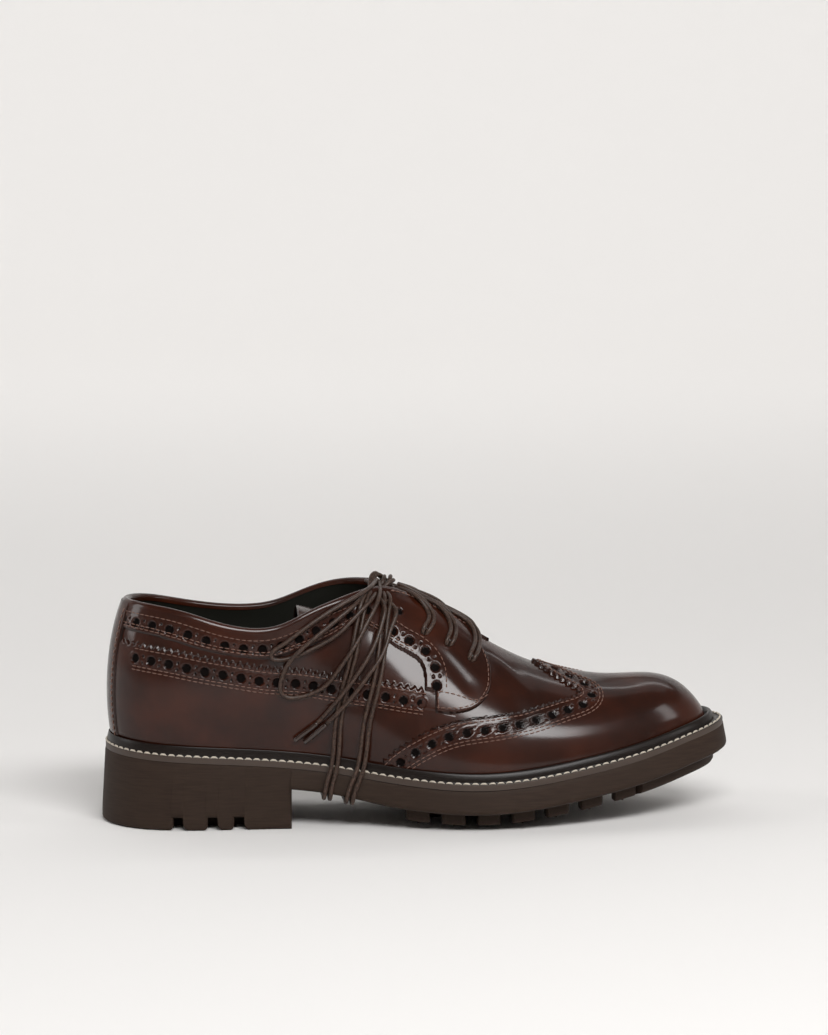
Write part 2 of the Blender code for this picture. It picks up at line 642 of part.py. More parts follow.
def make_insole(surface, collection):
    """Insole plate inside the foot of the upper."""
    stations = station_list()[0]

    def level(height):
        grid = np.zeros((len(stations), 2, 3))
        for i, station in enumerate(stations):
            for j, side in enumerate((-1, 1)):
                grid[i, j] = last_offset(station, 0, side, -wall - 3 * gap)
                grid[i, j, 2] = seat(grid[i, j, 0]) + height
        return grid

    vertices, faces = sheet_solid(level(insole_thickness + gap), level(gap))
    return add_mesh("insole", vertices, faces, surface, collection)


def make_wing_cap(surface, collection):
    """Toe cap whose edge sweeps back along both sides and to a point on the vamp."""
    ups = np.concatenate([np.linspace(0, 0.58, 11), np.linspace(0.62, 1, 9)])
    shares = np.linspace(0, 1, 9)
    strips = []
    for side, up in [(-1, up) for up in ups] + [(1, up) for up in ups[-2::-1]]:
        start = float(angle(wing_edge(up)))
        strips.append((side, start + (1 - start) * shares, np.full(len(shares), up)))
    return cut_overlay("wing_cap", strips, surface, collection)


def make_band(side, surface, collection):
    """Lower band of the upper, from behind the wing cap to the back strap."""
    wing_up = [row[0] for row in wing_rows[:6]]
    wing_along = [row[1] for row in wing_rows[:6]]
    strips = []
    for station in np.linspace(strap_station(side) + 0.002, float(angle(band_front)), 22):
        along = float(share(station))
        low = float(np.interp(along + 0.010, wing_along, wing_up)) + 0.012 if along > wing_along[0] - 0.010 else 0.0
        ups = low + (float(band_edge(station)) - low) * np.array([0, 0.5, 1.0])
        strips.append((side, np.full(3, station), ups))
    return cut_overlay(f"heel_band_{side_names[side]}", strips, surface, collection)


def strap_station(side):
    """Station where the side edge of the back strap runs, from its width at the welt."""
    stations = np.linspace(0, 0.3, 301)
    half = (ball_width / 2 - side_margin) * plan[side](stations)
    return float(np.interp(strap_width / 2, half, stations))


def make_strap(surface, collection):
    """Strap down the back seam, from the collar to the welt."""
    strips = []
    for side, shares in ((-1, (1, 0.66, 0.33, 0)), (1, (0.33, 0.66, 1))):
        for part in shares:
            strips.append((side, np.full(9, (strap_station(side) - 0.002) * part), np.linspace(0, 1.03, 9)))
    return cut_overlay("back_strap", strips, surface, collection)


def make_facing(side, surface, collection):
    """Facing with the lace holes, whose lower front corner is the tab over the vamp."""
    strips = []
    alongs = [row[0] for row in facing_rows]
    reach = sorted(set(alongs) | {0.463, 0.498})
    for along in reach:
        low = float(np.interp(along, alongs, [row[1] for row in facing_rows]))
        strips.append((side, np.full(6, float(angle(along))), np.linspace(low, 1.03, 6)))
    return cut_overlay(f"facing_{side_names[side]}", strips, surface, collection)


def make_tongue(surface, collection):
    """Tongue under the facings, from inside the vamp to its free top edge: its sides follow the
    inside of the upper and its middle arches between them."""
    outer, inner = [], []
    bridge = np.array([-0.66, -0.33, 0, 0.33, 0.66])
    for along, crown, *ups in tongue_rows:
        for grid, depth in ((outer, wall + 4 * gap), (inner, wall + 4 * gap + tongue_thickness)):
            station = np.full(len(ups), float(angle(along)))
            left = last_offset(station, np.array(ups), -1, -depth)
            right = last_offset(station, np.array(ups), 1, -depth)
            middle = left[-1] + (right[-1] - left[-1]) * ((bridge[:, None] + 1) / 2)
            middle[:, 2] += crown * (1 - bridge ** 2)
            grid.append(np.concatenate([left, middle, right[::-1]]))
    vertices, faces = sheet_solid(np.array(outer), np.array(inner))
    return add_mesh("tongue", vertices, faces, surface, collection)


def route_points(rows, side=-1, shift=0.0):
    """Points of a lace route over the leather."""
    points = []
    for along, up, layer in rows:
        lift_by = overlay + 2.5 * gap + lace_diameter * (0.5 + 1.12 * layer)
        points.append(last_offset(float(angle(along + shift)), up, side, lift_by))
    return np.array(points)


def smooth_line(points, spacing):
    """Evenly spaced points on a smooth curve through the route's points."""
    points = np.asarray(points, float)
    run = np.concatenate([[0], np.cumsum(np.linalg.norm(np.diff(points, axis=0), axis=1))])
    count = max(2, int(round(run[-1] / spacing)) + 1)
    at = np.linspace(0, run[-1], count)
    return np.stack([spline(run, points[:, axis])(at) for axis in range(3)], axis=-1)


def add_cord(name, points, diameter, surface, collection):
    """Round cord along a line of points, closed at both ends."""
    curve = bpy.data.curves.new(name, "CURVE")
    curve.dimensions = "3D"
    curve.bevel_depth = diameter / 2
    curve.bevel_resolution = 2
    curve.use_fill_caps = True
    line = curve.splines.new("POLY")
    line.points.add(len(points) - 1)
    for target, point in zip(line.points, to_origin(points)):
        target.co = (*point, 1.0)
    curve.materials.append(surface)
    made = bpy.data.objects.new(name, curve)
    collection.objects.link(made)
    return made


def mesh_of(name, cord, surface, collection):
    """Mesh object with the shape of a cord, which is dropped."""
    mesh = bpy.data.meshes.new_from_object(cord.evaluated_get(bpy.context.evaluated_depsgraph_get()))
    bpy.data.objects.remove(cord)
    work = bmesh.new()
    work.from_mesh(mesh)
    bmesh.ops.remove_doubles(work, verts=work.verts, dist=1e-6)
    bmesh.ops.recalc_face_normals(work, faces=work.faces)
    work.to_mesh(mesh)
    work.free()
    made = bpy.data.objects.new(name, mesh)
    collection.objects.link(made)
    return made


def ball(name, centre, radii, surface, collection, segments=12, rings=8):
    """Closed ellipsoid."""
    work = bmesh.new()
    bmesh.ops.create_uvsphere(work, u_segments=segments, v_segments=rings, radius=1.0)
    for vert in work.verts:
        vert.co = Vector([centre[i] + radii[i] * vert.co[i] for i in range(3)])
        vert.co.x -= heel_centre
    mesh = bpy.data.meshes.new(name)
    work.to_mesh(mesh)
    work.free()
    mesh.shade_smooth()
    mesh.materials.append(surface)
    made = bpy.data.objects.new(name, mesh)
    collection.objects.link(made)
    return made


def make_lace_bars(surface, collection):
    """Doubled strands from the lace holes of both facings, joined under the knot."""
    hub = np.array([hub_x, 0.0, hub_z])
    bars = ball("lace_bars", hub, (hub_radius,) * 3, surface, collection, 10, 6)
    for rows in bar_rows.values():
        for side in (-1, 1):
            for k in (0, 1):
                points = route_points(rows, side, k * strand_step)
                line = smooth_line(np.concatenate([points, hub[None]]), 0.0078)
                strand = mesh_of("strand", add_cord("strand", line, lace_diameter, surface, collection), surface, collection)
                boolean(bars, strand, "UNION")
    return bars


def wrap_points(rows, foot):
    """Route of a strand that runs down the outer side, under the waist and up the inner side."""
    clear = 3.5 * gap + lace_diameter / 2
    down = route_points(rows)
    station = float(angle(foot / sole_length))
    left, right = sole_edge(station, -1)[1], sole_edge(station, 1)[1]
    top, bottom = float(seat(foot)), float(seat(foot) - side_depth(foot))
    lean_x = (foot - down[-1][0]) / 3
    corner = 0.75 * clear
    around = [(foot - 1.6 * lean_x, left - clear, top - 0.5 * welt_thickness),
              (foot - 0.5 * lean_x, left - clear, bottom + 0.3 * (top - bottom)),
              (foot, left - corner, bottom - corner)]
    under = []
    for across in (-0.9, -0.5, 0, 0.5, 0.9):
        y = (left + right) / 2 + (right - left) / 2 * across
        under.append((foot, y, float(sole_under(foot, across)) - clear))
    back = [(x, left + right - y, z) for x, y, z in reversed(around)]
    return np.concatenate([down, around, under, back, route_points(rows, 1)[::-1]])


def make_laces(surface, metal, collection):
    """Knot, loops, ends with aglets, and the strands wound round the waist of the shoe."""
    make_lace_bars(surface, collection)
    radii = (knot_length / 2, knot_width / 2, knot_height / 2)
    ball("lace_knot", (knot_x, 0.0, knot_z), radii, surface, collection)
    for name, rows in (("lace_loop_1", loop_one_rows), ("lace_loop_2", loop_two_rows)):
        add_cord(name, smooth_line(route_points(rows), 0.0048), lace_diameter, surface, collection)
    for k, rows in enumerate((end_one_rows, end_two_rows)):
        line = smooth_line(route_points(rows), 0.0005)
        split = len(line) - int(aglet_length / 0.0005)
        add_cord(f"lace_end_{k + 1}", smooth_line(line[:split:10], 0.0048), lace_diameter, surface, collection)
        add_cord(f"aglet_{k + 1}", line[split + 2::9], aglet_diameter, metal, collection)
    for k, rows in enumerate(wrap_rows):
        line = smooth_line(wrap_points(rows, wrap_foot[k]), 0.0062)
        add_cord(f"lace_wrap_{k + 1}", line, lace_diameter, surface, collection)


def clear_scene():
    for thing in list(bpy.data.objects):
        bpy.data.objects.remove(thing)


def main():
    clear_scene()
    collection = bpy.data.collections.new("brogue_shoe")
    bpy.context.scene.collection.children.link(collection)
    leather = material("polished_calf_leather", (0.045, 0.014, 0.008), 0.18)
    lining = material("lining_leather", (0.018, 0.016, 0.014), 0.6)
    rubber = material("moulded_rubber", (0.055, 0.034, 0.024), 0.65)
    welting = material("waxed_welt_leather", (0.014, 0.009, 0.006), 0.35)
    lace = material("waxed_lace_cord", (0.03, 0.018, 0.012), 0.4)
    aglet = material("clear_lace_tip", (0.05, 0.028, 0.018), 0.2)
    make_outsole(rubber, collection)
    make_welt(welting, collection)
    make_insole(lining, collection)
    last_shell("upper", -wall, 0.0, leather, collection)
    make_tongue(leather, collection)
    make_wing_cap(leather, collection)
    make_strap(leather, collection)
    for side in (-1, 1):
        make_band(side, leather, collection)
        make_facing(side, leather, collection)
    make_laces(lace, aglet, collection)


main()
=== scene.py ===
import math

import bpy
import numpy as np
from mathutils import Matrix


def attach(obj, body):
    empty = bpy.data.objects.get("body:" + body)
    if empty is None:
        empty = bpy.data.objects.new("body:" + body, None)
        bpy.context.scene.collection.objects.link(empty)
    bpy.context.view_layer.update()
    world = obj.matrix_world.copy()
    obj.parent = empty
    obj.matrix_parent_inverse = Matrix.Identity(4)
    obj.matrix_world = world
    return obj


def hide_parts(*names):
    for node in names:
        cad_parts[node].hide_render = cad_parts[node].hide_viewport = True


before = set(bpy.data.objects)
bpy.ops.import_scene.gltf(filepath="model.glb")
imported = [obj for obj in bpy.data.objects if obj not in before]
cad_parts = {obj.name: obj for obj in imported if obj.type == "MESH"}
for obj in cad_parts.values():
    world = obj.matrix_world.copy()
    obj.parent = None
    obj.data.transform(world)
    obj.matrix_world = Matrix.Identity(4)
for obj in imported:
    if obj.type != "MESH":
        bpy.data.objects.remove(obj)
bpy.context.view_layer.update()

# Sizes of the shoe in metres, the same as in its solids
soleLength = 0.3085
ballWidth = 0.112
heelLength = 0.0905
heelCentre = 0.045
edgeSlant = 0.002
sideThickness = 0.0148
waistThickness = 0.0132
lugHeight = 0.0045
lugLength = 0.0115
lugPitch = 0.0176
lugWidth = 0.0145
lugInset = 0.0065
firstLug = 0.146
toeLug = 0.2665
lugCount = 7
centreLugWidth = 0.026
notchStarts = (0.0330, 0.0496, 0.0624)
notchLength = 0.0058
notchHeight = 0.0062
notchDepth = 0.012
heelHeight = 0.0385
ballHeight = 0.0234
toeHeight = 0.0465
instepHeight = 0.087
toeSwing = 0.005
weltThickness = 0.003
beadHeight = 0.005
beadWidth = 0.0035
wall = 0.002
overlay = 0.0012
gap = 0.0003
laceDiameter = 0.0021
tipLength = 0.014
tipDiameter = 0.0025
sideMargin = 0.0085
toeMargin = 0.0122
heelMargin = 0.0072
heelBulge = 0.0026
heelLean = 0.0052
collarBack = 0.0126
throatShare = 0.628
stackHeight = overlay + gap

sideNames = {-1: "lateral", 1: "medial"}

seatRows = (
    (0.00, 1.000, 0.000), (0.10, 0.855, 0.000), (0.28, 0.620, 0.000), (0.38, 0.385, 0.000),
    (0.43, 0.232, 0.000), (0.51, 0.060, 0.000), (0.58, 0.000, 0.000), (0.66, 0.000, 0.058),
    (0.75, 0.000, 0.231), (0.85, 0.000, 0.487), (0.93, 0.000, 0.762), (1.00, 0.000, 1.000))
planRows = (
    (0.00, 0.000, 0.000), (0.06, 0.570, 0.570), (0.13, 0.675, 0.680), (0.28, 0.660, 0.635),
    (0.36, 0.690, 0.600), (0.44, 0.800, 0.670), (0.52, 0.940, 0.830), (0.60, 1.000, 0.955),
    (0.68, 0.970, 1.000), (0.76, 0.885, 0.955), (0.85, 0.740, 0.820), (0.93, 0.525, 0.595),
    (0.98, 0.300, 0.335), (1.00, 0.000, 0.000))
sectionRows = (
    (0.00, 1.05, 1.05, 0.34, 1.05, 1.05, 0.74), (0.13, 1.10, 1.10, 0.34, 1.04, 1.04, 0.72),
    (0.28, 1.12, 1.20, 0.34, 1.08, 1.14, 0.72), (0.40, 1.12, 1.22, 0.36, 0.92, 1.02, 0.80),
    (0.48, 1.10, 1.16, 0.38, 0.68, 0.76, 0.88), (0.58, 1.08, 1.10, 0.42, 0.50, 0.52, 0.96),
    (0.68, 1.07, 1.07, 0.46, 0.48, 0.48, 1.00), (0.80, 1.06, 1.06, 0.52, 0.52, 0.52, 1.00),
    (0.92, 1.05, 1.05, 0.56, 0.55, 0.55, 1.00), (1.00, 1.05, 1.05, 0.58, 0.58, 0.58, 1.00))
topRows = (
    (0.000, 0.795, 0.795, 0.000, 0.000), (0.045, 0.795, 0.782, 0.390, 0.390),
    (0.100, 0.771, 0.752, 0.510, 0.510), (0.200, 0.708, 0.733, 0.590, 0.580),
    (0.261, 0.740, 0.770, 0.590, 0.590), (0.312, 0.830, 0.848, 0.570, 0.580),
    (0.364, 0.912, 0.925, 0.490, 0.510), (0.410, 0.972, 0.972, 0.350, 0.365),
    (0.446, 0.990, 0.985, 0.210, 0.225), (0.487, 0.958, 0.958, 0.125, 0.125),
    (0.558, 0.850, 0.850, 0.100, 0.100), (0.628, 0.705, 0.705, 0.090, 0.090),
    (0.686, 0.590, 0.590, 0.000, 0.000), (0.755, 0.478, 0.478, 0.000, 0.000),
    (0.833, 0.390, 0.390, 0.000, 0.000), (0.912, 0.329, 0.329, 0.000, 0.000),
    (0.955, 0.243, 0.243, 0.000, 0.000), (0.985, 0.124, 0.124, 0.000, 0.000),
    (1.000, 0.000, 0.000, 0.000, 0.000))
wingRows = (
    (0.00, 0.428), (0.09, 0.450), (0.21, 0.502), (0.27, 0.538), (0.31, 0.570), (0.35, 0.612),
    (0.39, 0.650), (0.45, 0.693), (0.53, 0.736), (0.62, 0.775), (0.68, 0.772), (0.76, 0.750),
    (0.84, 0.728), (0.92, 0.713), (1.00, 0.706))
bandRows = (
    (0.00, 0.715), (0.05, 0.710), (0.14, 0.725), (0.21, 0.723), (0.28, 0.641), (0.35, 0.527),
    (0.42, 0.450), (0.50, 0.425), (0.545, 0.430))
tongueRows = (
    (0.660, 0.0000, 0.800, 0.880, 0.960), (0.632, 0.0004, 0.780, 0.870, 0.960),
    (0.600, 0.0006, 0.760, 0.860, 0.960), (0.560, 0.0008, 0.740, 0.840, 0.950),
    (0.520, 0.0010, 0.730, 0.820, 0.920), (0.480, 0.0016, 0.720, 0.800, 0.880),
    (0.440, 0.0030, 0.690, 0.750, 0.810), (0.400, 0.0056, 0.620, 0.680, 0.740),
    (0.360, 0.0085, 0.610, 0.670, 0.730), (0.334, 0.0105, 0.640, 0.700, 0.760),
    (0.308, 0.0120, 0.670, 0.735, 0.800))


# Station angle of a share of the length, 0 at the back of the heel and 1 at the toe tip
def angle(along):
    return np.arccos(1 - 2 * np.asarray(along, float)) / math.pi


def share(station):
    return (1 - np.cos(math.pi * np.asarray(station, float))) / 2


# Natural cubic spline through knots, as a function; flatStart makes its first slope zero
def spline(knots, values, flatStart=False):
    knots, values = np.asarray(knots, float), np.asarray(values, float)
    count = len(knots)
    step = np.diff(knots)
    matrix, right = np.eye(count), np.zeros(count)
    for i in range(1, count - 1):
        matrix[i, i - 1:i + 2] = step[i - 1], 2 * (step[i - 1] + step[i]), step[i]
        right[i] = 6 * ((values[i + 1] - values[i]) / step[i] - (values[i] - values[i - 1]) / step[i - 1])
    if flatStart:
        matrix[0, :2] = 2 * step[0], step[0]
        right[0] = 6 * (values[1] - values[0]) / step[0]
    bend = np.linalg.solve(matrix, right)

    def value(at):
        at = np.asarray(at, float)
        i = np.clip(np.searchsorted(knots, at) - 1, 0, count - 2)
        before, after = at - knots[i], knots[i + 1] - at
        cubic = (bend[i] * after ** 3 + bend[i + 1] * before ** 3) / (6 * step[i])
        low = values[i] / step[i] - bend[i] * step[i] / 6
        high = values[i + 1] / step[i] - bend[i + 1] * step[i] / 6
        return cubic + low * after + high * before

    return value


def column(rows, at, flatStart=False):
    return spline(angle([row[0] for row in rows]), [row[at] for row in rows], flatStart)


seatHeel, seatToe = column(seatRows, 1, True), column(seatRows, 2)
plan = {-1: column(planRows, 1), 1: column(planRows, 2)}
bulge = {-1: column(sectionRows, 1, True), 1: column(sectionRows, 2, True)}
lift = column(sectionRows, 3, True)
lean = {-1: column(sectionRows, 4, True), 1: column(sectionRows, 5, True)}
rise = column(sectionRows, 6, True)
crest = {-1: column(topRows, 1, True), 1: column(topRows, 2, True)}
openRows = [row for row in topRows if row[0] <= throatShare]
brow = {-1: column(openRows, 3), 1: column(openRows, 4)}
wingEdge = spline([row[0] for row in wingRows], [row[1] for row in wingRows])
bandEdge = column(bandRows, 1, True)


def smooth(value, low, high):
    t = np.clip((value - low) / (high - low), 0, 1)
    return t * t * (3 - 2 * t)


def centreLine(x):
    return toeSwing * np.clip(x / soleLength * 2 - 1, 0, 1) ** 2


# Height of the welt's top: the ball's height, plus a rise to the heel and a rise to the toe
def seat(x):
    station = angle(np.clip(x / soleLength, 0, 1))
    heelRise, toeRise = heelHeight - ballHeight, toeHeight - ballHeight
    return ballHeight + heelRise * seatHeel(station) + toeRise * seatToe(station)


def soleEdge(station, side, inset=0.0):
    x = inset + (soleLength - 2 * inset) * share(station)
    y = centreLine(x) + side * (ballWidth / 2 - inset) * plan[side](station)
    return x, y


# Leather's base face: at each station a cubic curve from the welt over bulge and lean to the crest,
# where up is 0 at the welt and 1 at the collar, at the facing's edge or on the ridge
def lastPoint(station, up, side):
    station, up = np.broadcast_arrays(np.asarray(station, float), np.asarray(up, float))
    along = share(station)
    closed = along > throatShare
    length = soleLength - toeMargin - heelMargin
    fade = np.cos(np.clip(along / 0.65, 0, 1) * math.pi / 2) ** 2
    backs = (heelMargin, heelBulge, heelLean, collarBack)
    starts = [heelMargin + (back - heelMargin) * fade for back in backs]
    half = (ballWidth / 2 - sideMargin) * plan[side](station)
    meanCrest = (crest[-1](station) + crest[1](station)) / 2
    height = instepHeight * np.where(closed, meanCrest, crest[side](station))
    narrowing = 1 - smooth(along, 0.545, 0.622)
    top = ballWidth / 2 * brow[side](np.minimum(station, angle(throatShare))) * narrowing
    widths = (half, half * bulge[side](station), half * lean[side](station), np.where(closed, 0, top))
    lengths = [start + length * along for start in starts]
    base = seat(lengths[0]) + gap
    heights = (base, base + height * lift(station), base + height * rise(station), base + height)
    weights = ((1 - up) ** 3, 3 * up * (1 - up) ** 2, 3 * up ** 2 * (1 - up), up ** 3)
    x = sum(w * one for w, one in zip(weights, lengths))
    y = sum(w * one for w, one in zip(weights, widths))
    z = sum(w * one for w, one in zip(weights, heights))
    return np.stack([x, centreLine(x) + side * y, z], axis=-1)


def lastSteps(station, up, side):
    step = 1e-4
    throat = float(angle(throatShare))
    here = np.clip(station, 0, 0.9985)
    forward = np.where(here > throat, here + step, np.where(here + step > throat, here, here + step))
    backward = np.where(here > throat, np.maximum(here - step, throat + 1e-9), np.maximum(here - step, 0))
    level = np.clip(up, 0, 1)
    above, below = np.minimum(level + step, 1), np.maximum(level - step, 0)
    along = (lastPoint(forward, up, side) - lastPoint(backward, up, side)) / (forward - backward)[..., None]
    across = (lastPoint(here, above, side) - lastPoint(here, below, side)) / (above - below)[..., None]
    return along, across


def unit(vectors):
    return vectors / np.maximum(np.linalg.norm(vectors, axis=-1, keepdims=True), 1e-12)


def lastNormal(station, up, side):
    station, up = np.broadcast_arrays(np.asarray(station, float), np.asarray(up, float))
    along, across = lastSteps(station, up, side)
    normal = unit(np.cross(across, along) * side)
    middle = (station <= 0) | ((station > float(angle(throatShare))) & (up >= 1))
    if middle.any():
        other = lastSteps(station, up, -side)
        both = (normal - unit(np.cross(other[1], other[0]) * side)) * np.array([1.0, 0.0, 1.0])
        normal = np.where(middle[..., None], both, normal)
    normal = np.where((station >= 0.9999)[..., None], np.array([1.0, 0.0, 0.0]), normal)
    return unit(normal)


# Soft troughs and ridges of worn leather: each row is a line between two places, given as along and up,
# with a half width and a height in metres; the leather follows a bell curve across the line and fades
# out past its ends
creaseRows = (
    (0.540, 0.620, 0.580, 0.500, 0.0040, -0.00050), (0.555, 0.660, 0.600, 0.560, 0.0035, 0.00030),
    (0.355, 0.860, 0.395, 0.720, 0.0055, -0.00040), (0.440, 0.700, 0.485, 0.560, 0.0060, -0.00050),
    (0.632, 0.680, 0.672, 0.420, 0.0045, -0.00055), (0.655, 0.740, 0.700, 0.480, 0.0040, 0.00035),
    (0.300, 0.420, 0.380, 0.380, 0.0090, -0.00040), (0.120, 0.880, 0.230, 0.800, 0.0045, -0.00030),
    (0.780, 0.900, 0.860, 0.780, 0.0080, -0.00030))


def creaseHeight(station, up):
    along, total = share(station), 0.0
    for a0, u0, a1, u1, width, height in creaseRows:
        stepX, stepZ = (a1 - a0) * soleLength, (u1 - u0) * instepHeight
        length = math.hypot(stepX, stepZ)
        offX, offZ = (along - a0) * soleLength, (up - u0) * instepHeight
        run = (offX * stepX + offZ * stepZ) / length
        aside = (offX * stepZ - offZ * stepX) / length
        beyond = np.maximum(0, np.maximum(-run, run - length)) / (1.6 * width)
        total = total + height * np.exp(-(aside / width) ** 2 - beyond ** 2)
    return total


def lastOffset(station, up, side, offset):
    station, up, offset = np.broadcast_arrays(np.asarray(station, float), up, offset)
    offset = offset + creaseHeight(station, up)
    point = lastPoint(station, up, side) + lastNormal(station, up, side) * offset[..., None]
    foot = (up <= 0) | (station >= 0.9999)
    point[..., 2] = np.where(foot, seat(point[..., 0]) + gap, point[..., 2])
    return point


# Colour of a code such as #3c1a0d, in the linear values that the renderer wants
def linear(code):
    values = [int(code[i:i + 2], 16) / 255 for i in (1, 3, 5)]
    return tuple(v / 12.92 if v <= 0.04045 else ((v + 0.055) / 1.055) ** 2.4 for v in values) + (1.0,)


def addNode(tree, kind, settings=None, **links):
    node = tree.nodes.new(kind)
    for name, value in (settings or {}).items():
        if name in node.inputs:
            node.inputs[name].default_value = value
        else:
            setattr(node, name, value)
    for name, source in links.items():
        tree.links.new(source, node.inputs[name])
    return node


def newMaterial(name, colour, roughness, **sockets):
    made = bpy.data.materials.new(name)
    made.use_nodes = True
    shader = made.node_tree.nodes["Principled BSDF"]
    shader.inputs["Base Color"].default_value = linear(colour)
    shader.inputs["Roughness"].default_value = roughness
    for key, value in sockets.items():
        shader.inputs[key.replace("_", " ")].default_value = value
    return made, made.node_tree, shader


def ramp(tree, source, stops):
    node = addNode(tree, "ShaderNodeValToRGB", None, Fac=source)
    while len(node.color_ramp.elements) < len(stops):
        node.color_ramp.elements.new(0.5)
    for element, (place, colour) in zip(node.color_ramp.elements, stops):
        element.position = place
        element.color = linear(colour) if isinstance(colour, str) else (colour,) * 3 + (1.0,)
    return node.outputs["Color"]


def noise(tree, size, detail=3.0, stretch=None):
    place = addNode(tree, "ShaderNodeTexCoord").outputs["Object"]
    if stretch:
        place = addNode(tree, "ShaderNodeMapping", {"Scale": stretch}, Vector=place).outputs["Vector"]
    node = addNode(tree, "ShaderNodeTexNoise", {"Scale": 1 / size, "Detail": detail}, Vector=place)
    return node.outputs["Fac"]


def bump(tree, shader, height, distance, strength):
    node = addNode(tree, "ShaderNodeBump", {"Strength": strength, "Distance": distance}, Height=height)
    tree.links.new(node.outputs["Normal"], shader.inputs["Normal"])


def mark(tree, name):
    return addNode(tree, "ShaderNodeAttribute", {"attribute_name": name}).outputs["Fac"]


def mixColour(tree, factor, first, second):
    node = addNode(tree, "ShaderNodeMix", {"data_type": "RGBA"})
    tree.links.new(factor, node.inputs["Factor"])
    for source, at in ((first, 6), (second, 7)):
        if isinstance(source, str):
            node.inputs[at].default_value = linear(source)
        else:
            tree.links.new(source, node.inputs[at])
    return node.outputs[2]


# Polished calf: dark red-brown with faint clouds, a wax gloss as coat, near-black painted shade inside punch
# holes, and a darker cut edge that is partly the leather's own edge colour and partly painted shade along
# each step
def makeLeather():
    made, tree, shader = newMaterial("polished_calf_leather", "#3a1a10", 0.50, Coat_Weight=0.62,
                                      Coat_Roughness=0.15, Specular_IOR_Level=0.05)
    clouds = noise(tree, 0.030, 4.0)
    brown = ramp(tree, clouds, ((0.30, "#210d06"), (0.52, "#2e1309"), (0.75, "#3c1a0d")))
    # Cut edges: darker brown, partly the leather's own edge colour and partly painted shade beside each step
    edgeAndShadeColour = mixColour(tree, mark(tree, "edge"), brown, "#1d0f0a")
    # Inside holes: near-black painted shade
    colour = mixColour(tree, mark(tree, "holeShade"), edgeAndShadeColour, "#060303")
    tree.links.new(colour, shader.inputs["Base Color"])
    grain = noise(tree, 0.0011, 2.0)
    bump(tree, shader, grain, 0.00002, 0.35)
    return made


# Lining: dark matt green-black leather
def makeLining():
    made, tree, shader = newMaterial("lining_leather", "#14140f", 0.66, Specular_IOR_Level=0.15)
    bump(tree, shader, noise(tree, 0.0007, 2.0), 0.00003, 0.5)
    return made


# Moulded rubber of the sole: matt warm grey-brown with faint level streaks
def makeRubber():
    made, tree, shader = newMaterial("moulded_rubber", "#30251e", 0.66, Specular_IOR_Level=0.15)
    streaks = noise(tree, 0.010, 4.0, (1.0, 1.0, 14.0))
    clouds = noise(tree, 0.045, 3.0)
    first = ramp(tree, streaks, ((0.35, "#2b1f19"), (0.65, "#372a22")))
    second = mixColour(tree, clouds, first, "#30251e")
    tree.links.new(second, shader.inputs["Base Color"])
    bump(tree, shader, streaks, 0.00010, 0.5)
    return made


# Waxed welt: near-black brown with a soft sheen
def makeWelting():
    made, tree, shader = newMaterial("waxed_welt", "#140c08", 0.40, Coat_Weight=0.12, Coat_Roughness=0.2,
                                      Specular_IOR_Level=0.2)
    bump(tree, shader, noise(tree, 0.0012, 3.0), 0.00006, 0.6)
    return made


# Thread: linen thread of the welt, cream, and of the upper, red-brown
def makeThread(name, colour, roughness):
    return newMaterial(name, colour, roughness)[0]


# Waxed cord of the laces: fine twisted ribs, dark brown with a dull sheen
def makeLace():
    made, tree, shader = newMaterial("waxed_lace_cord", "#3a2a22", 0.45, Coat_Weight=0.15, Coat_Roughness=0.3,
                                      Specular_IOR_Level=0.3)
    ribs = noise(tree, 0.0009, 2.0)
    tree.links.new(ramp(tree, ribs, ((0.35, "#241812"), (0.65, "#4a372d"))), shader.inputs["Base Color"])
    bump(tree, shader, ribs, 0.0002, 0.6)
    return made


leather = makeLeather()
# Matt near-black surface of painted shade for faces inside holes
holeShadeSurface = newMaterial("hole_painted_shade", "#0a0504", 0.9, Specular_IOR_Level=0.1)[0]
lining = makeLining()
rubber = makeRubber()
welting = makeWelting()
weltEdge = newMaterial("trimmed_welt_edge", "#3d3028", 0.5)[0]
creamThread = makeThread("cream_welt_thread", "#bdb3a4", 0.6)
brownThread = makeThread("red_brown_thread", "#6f4f42", 0.35)
laceCord = makeLace()
laceTip = newMaterial("lace_tip_film", "#2c1c15", 0.22, Coat_Weight=0.6)[0]


# Piece of the model: its mesh, moved so that the heel's middle is the origin, with materials and marks
def addPiece(name, points, faces, surfaces, replaced=(), marks=None, which=None):
    # Faces mostly inside holes take the second surface, the painted shade
    if marks and which is None and len(surfaces) > 1:
        which = (np.asarray(marks["holeShade"]).ravel()[np.asarray(faces)].mean(axis=1) > 0.5).astype(int)
    points = np.array(points, float).reshape(-1, 3)
    points[:, 0] -= heelCentre
    mesh = bpy.data.meshes.new(name)
    if isinstance(faces, np.ndarray):
        faces = faces.tolist()
    mesh.from_pydata(points.tolist(), [], faces)
    for surface in surfaces:
        mesh.materials.append(surface)
    if which is not None:
        mesh.polygons.foreach_set("material_index", np.asarray(which, np.int32))
    for key, values in (marks or {}).items():
        layer = mesh.attributes.new(key, "FLOAT", "POINT")
        layer.data.foreach_set("value", np.asarray(values, np.float32).ravel())
    mesh.shade_smooth()
    if name in ("rubber_sole", "sole_lugs"):
        mesh.set_sharp_from_angle(angle=math.radians(32))
    made = bpy.data.objects.new(name, mesh)
    bpy.context.scene.collection.objects.link(made)
    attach(made, "root")
    if replaced:
        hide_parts(*replaced)
    print("piece", name, len(points), "points")
    return made


# Quads of a grid of points; turned flips them, and wrap joins the last row to the first
def gridFaces(rows, cols, turned=False, wrap=False, start=0):
    spans = rows if wrap else rows - 1
    i, j = np.meshgrid(np.arange(spans), np.arange(cols - 1), indexing="ij")
    k = (i + 1) % rows
    quads = np.stack([i * cols + j, k * cols + j, k * cols + j + 1, i * cols + j + 1], axis=-1).reshape(-1, 4)
    if turned:
        quads = quads[:, ::-1]
    return quads + start


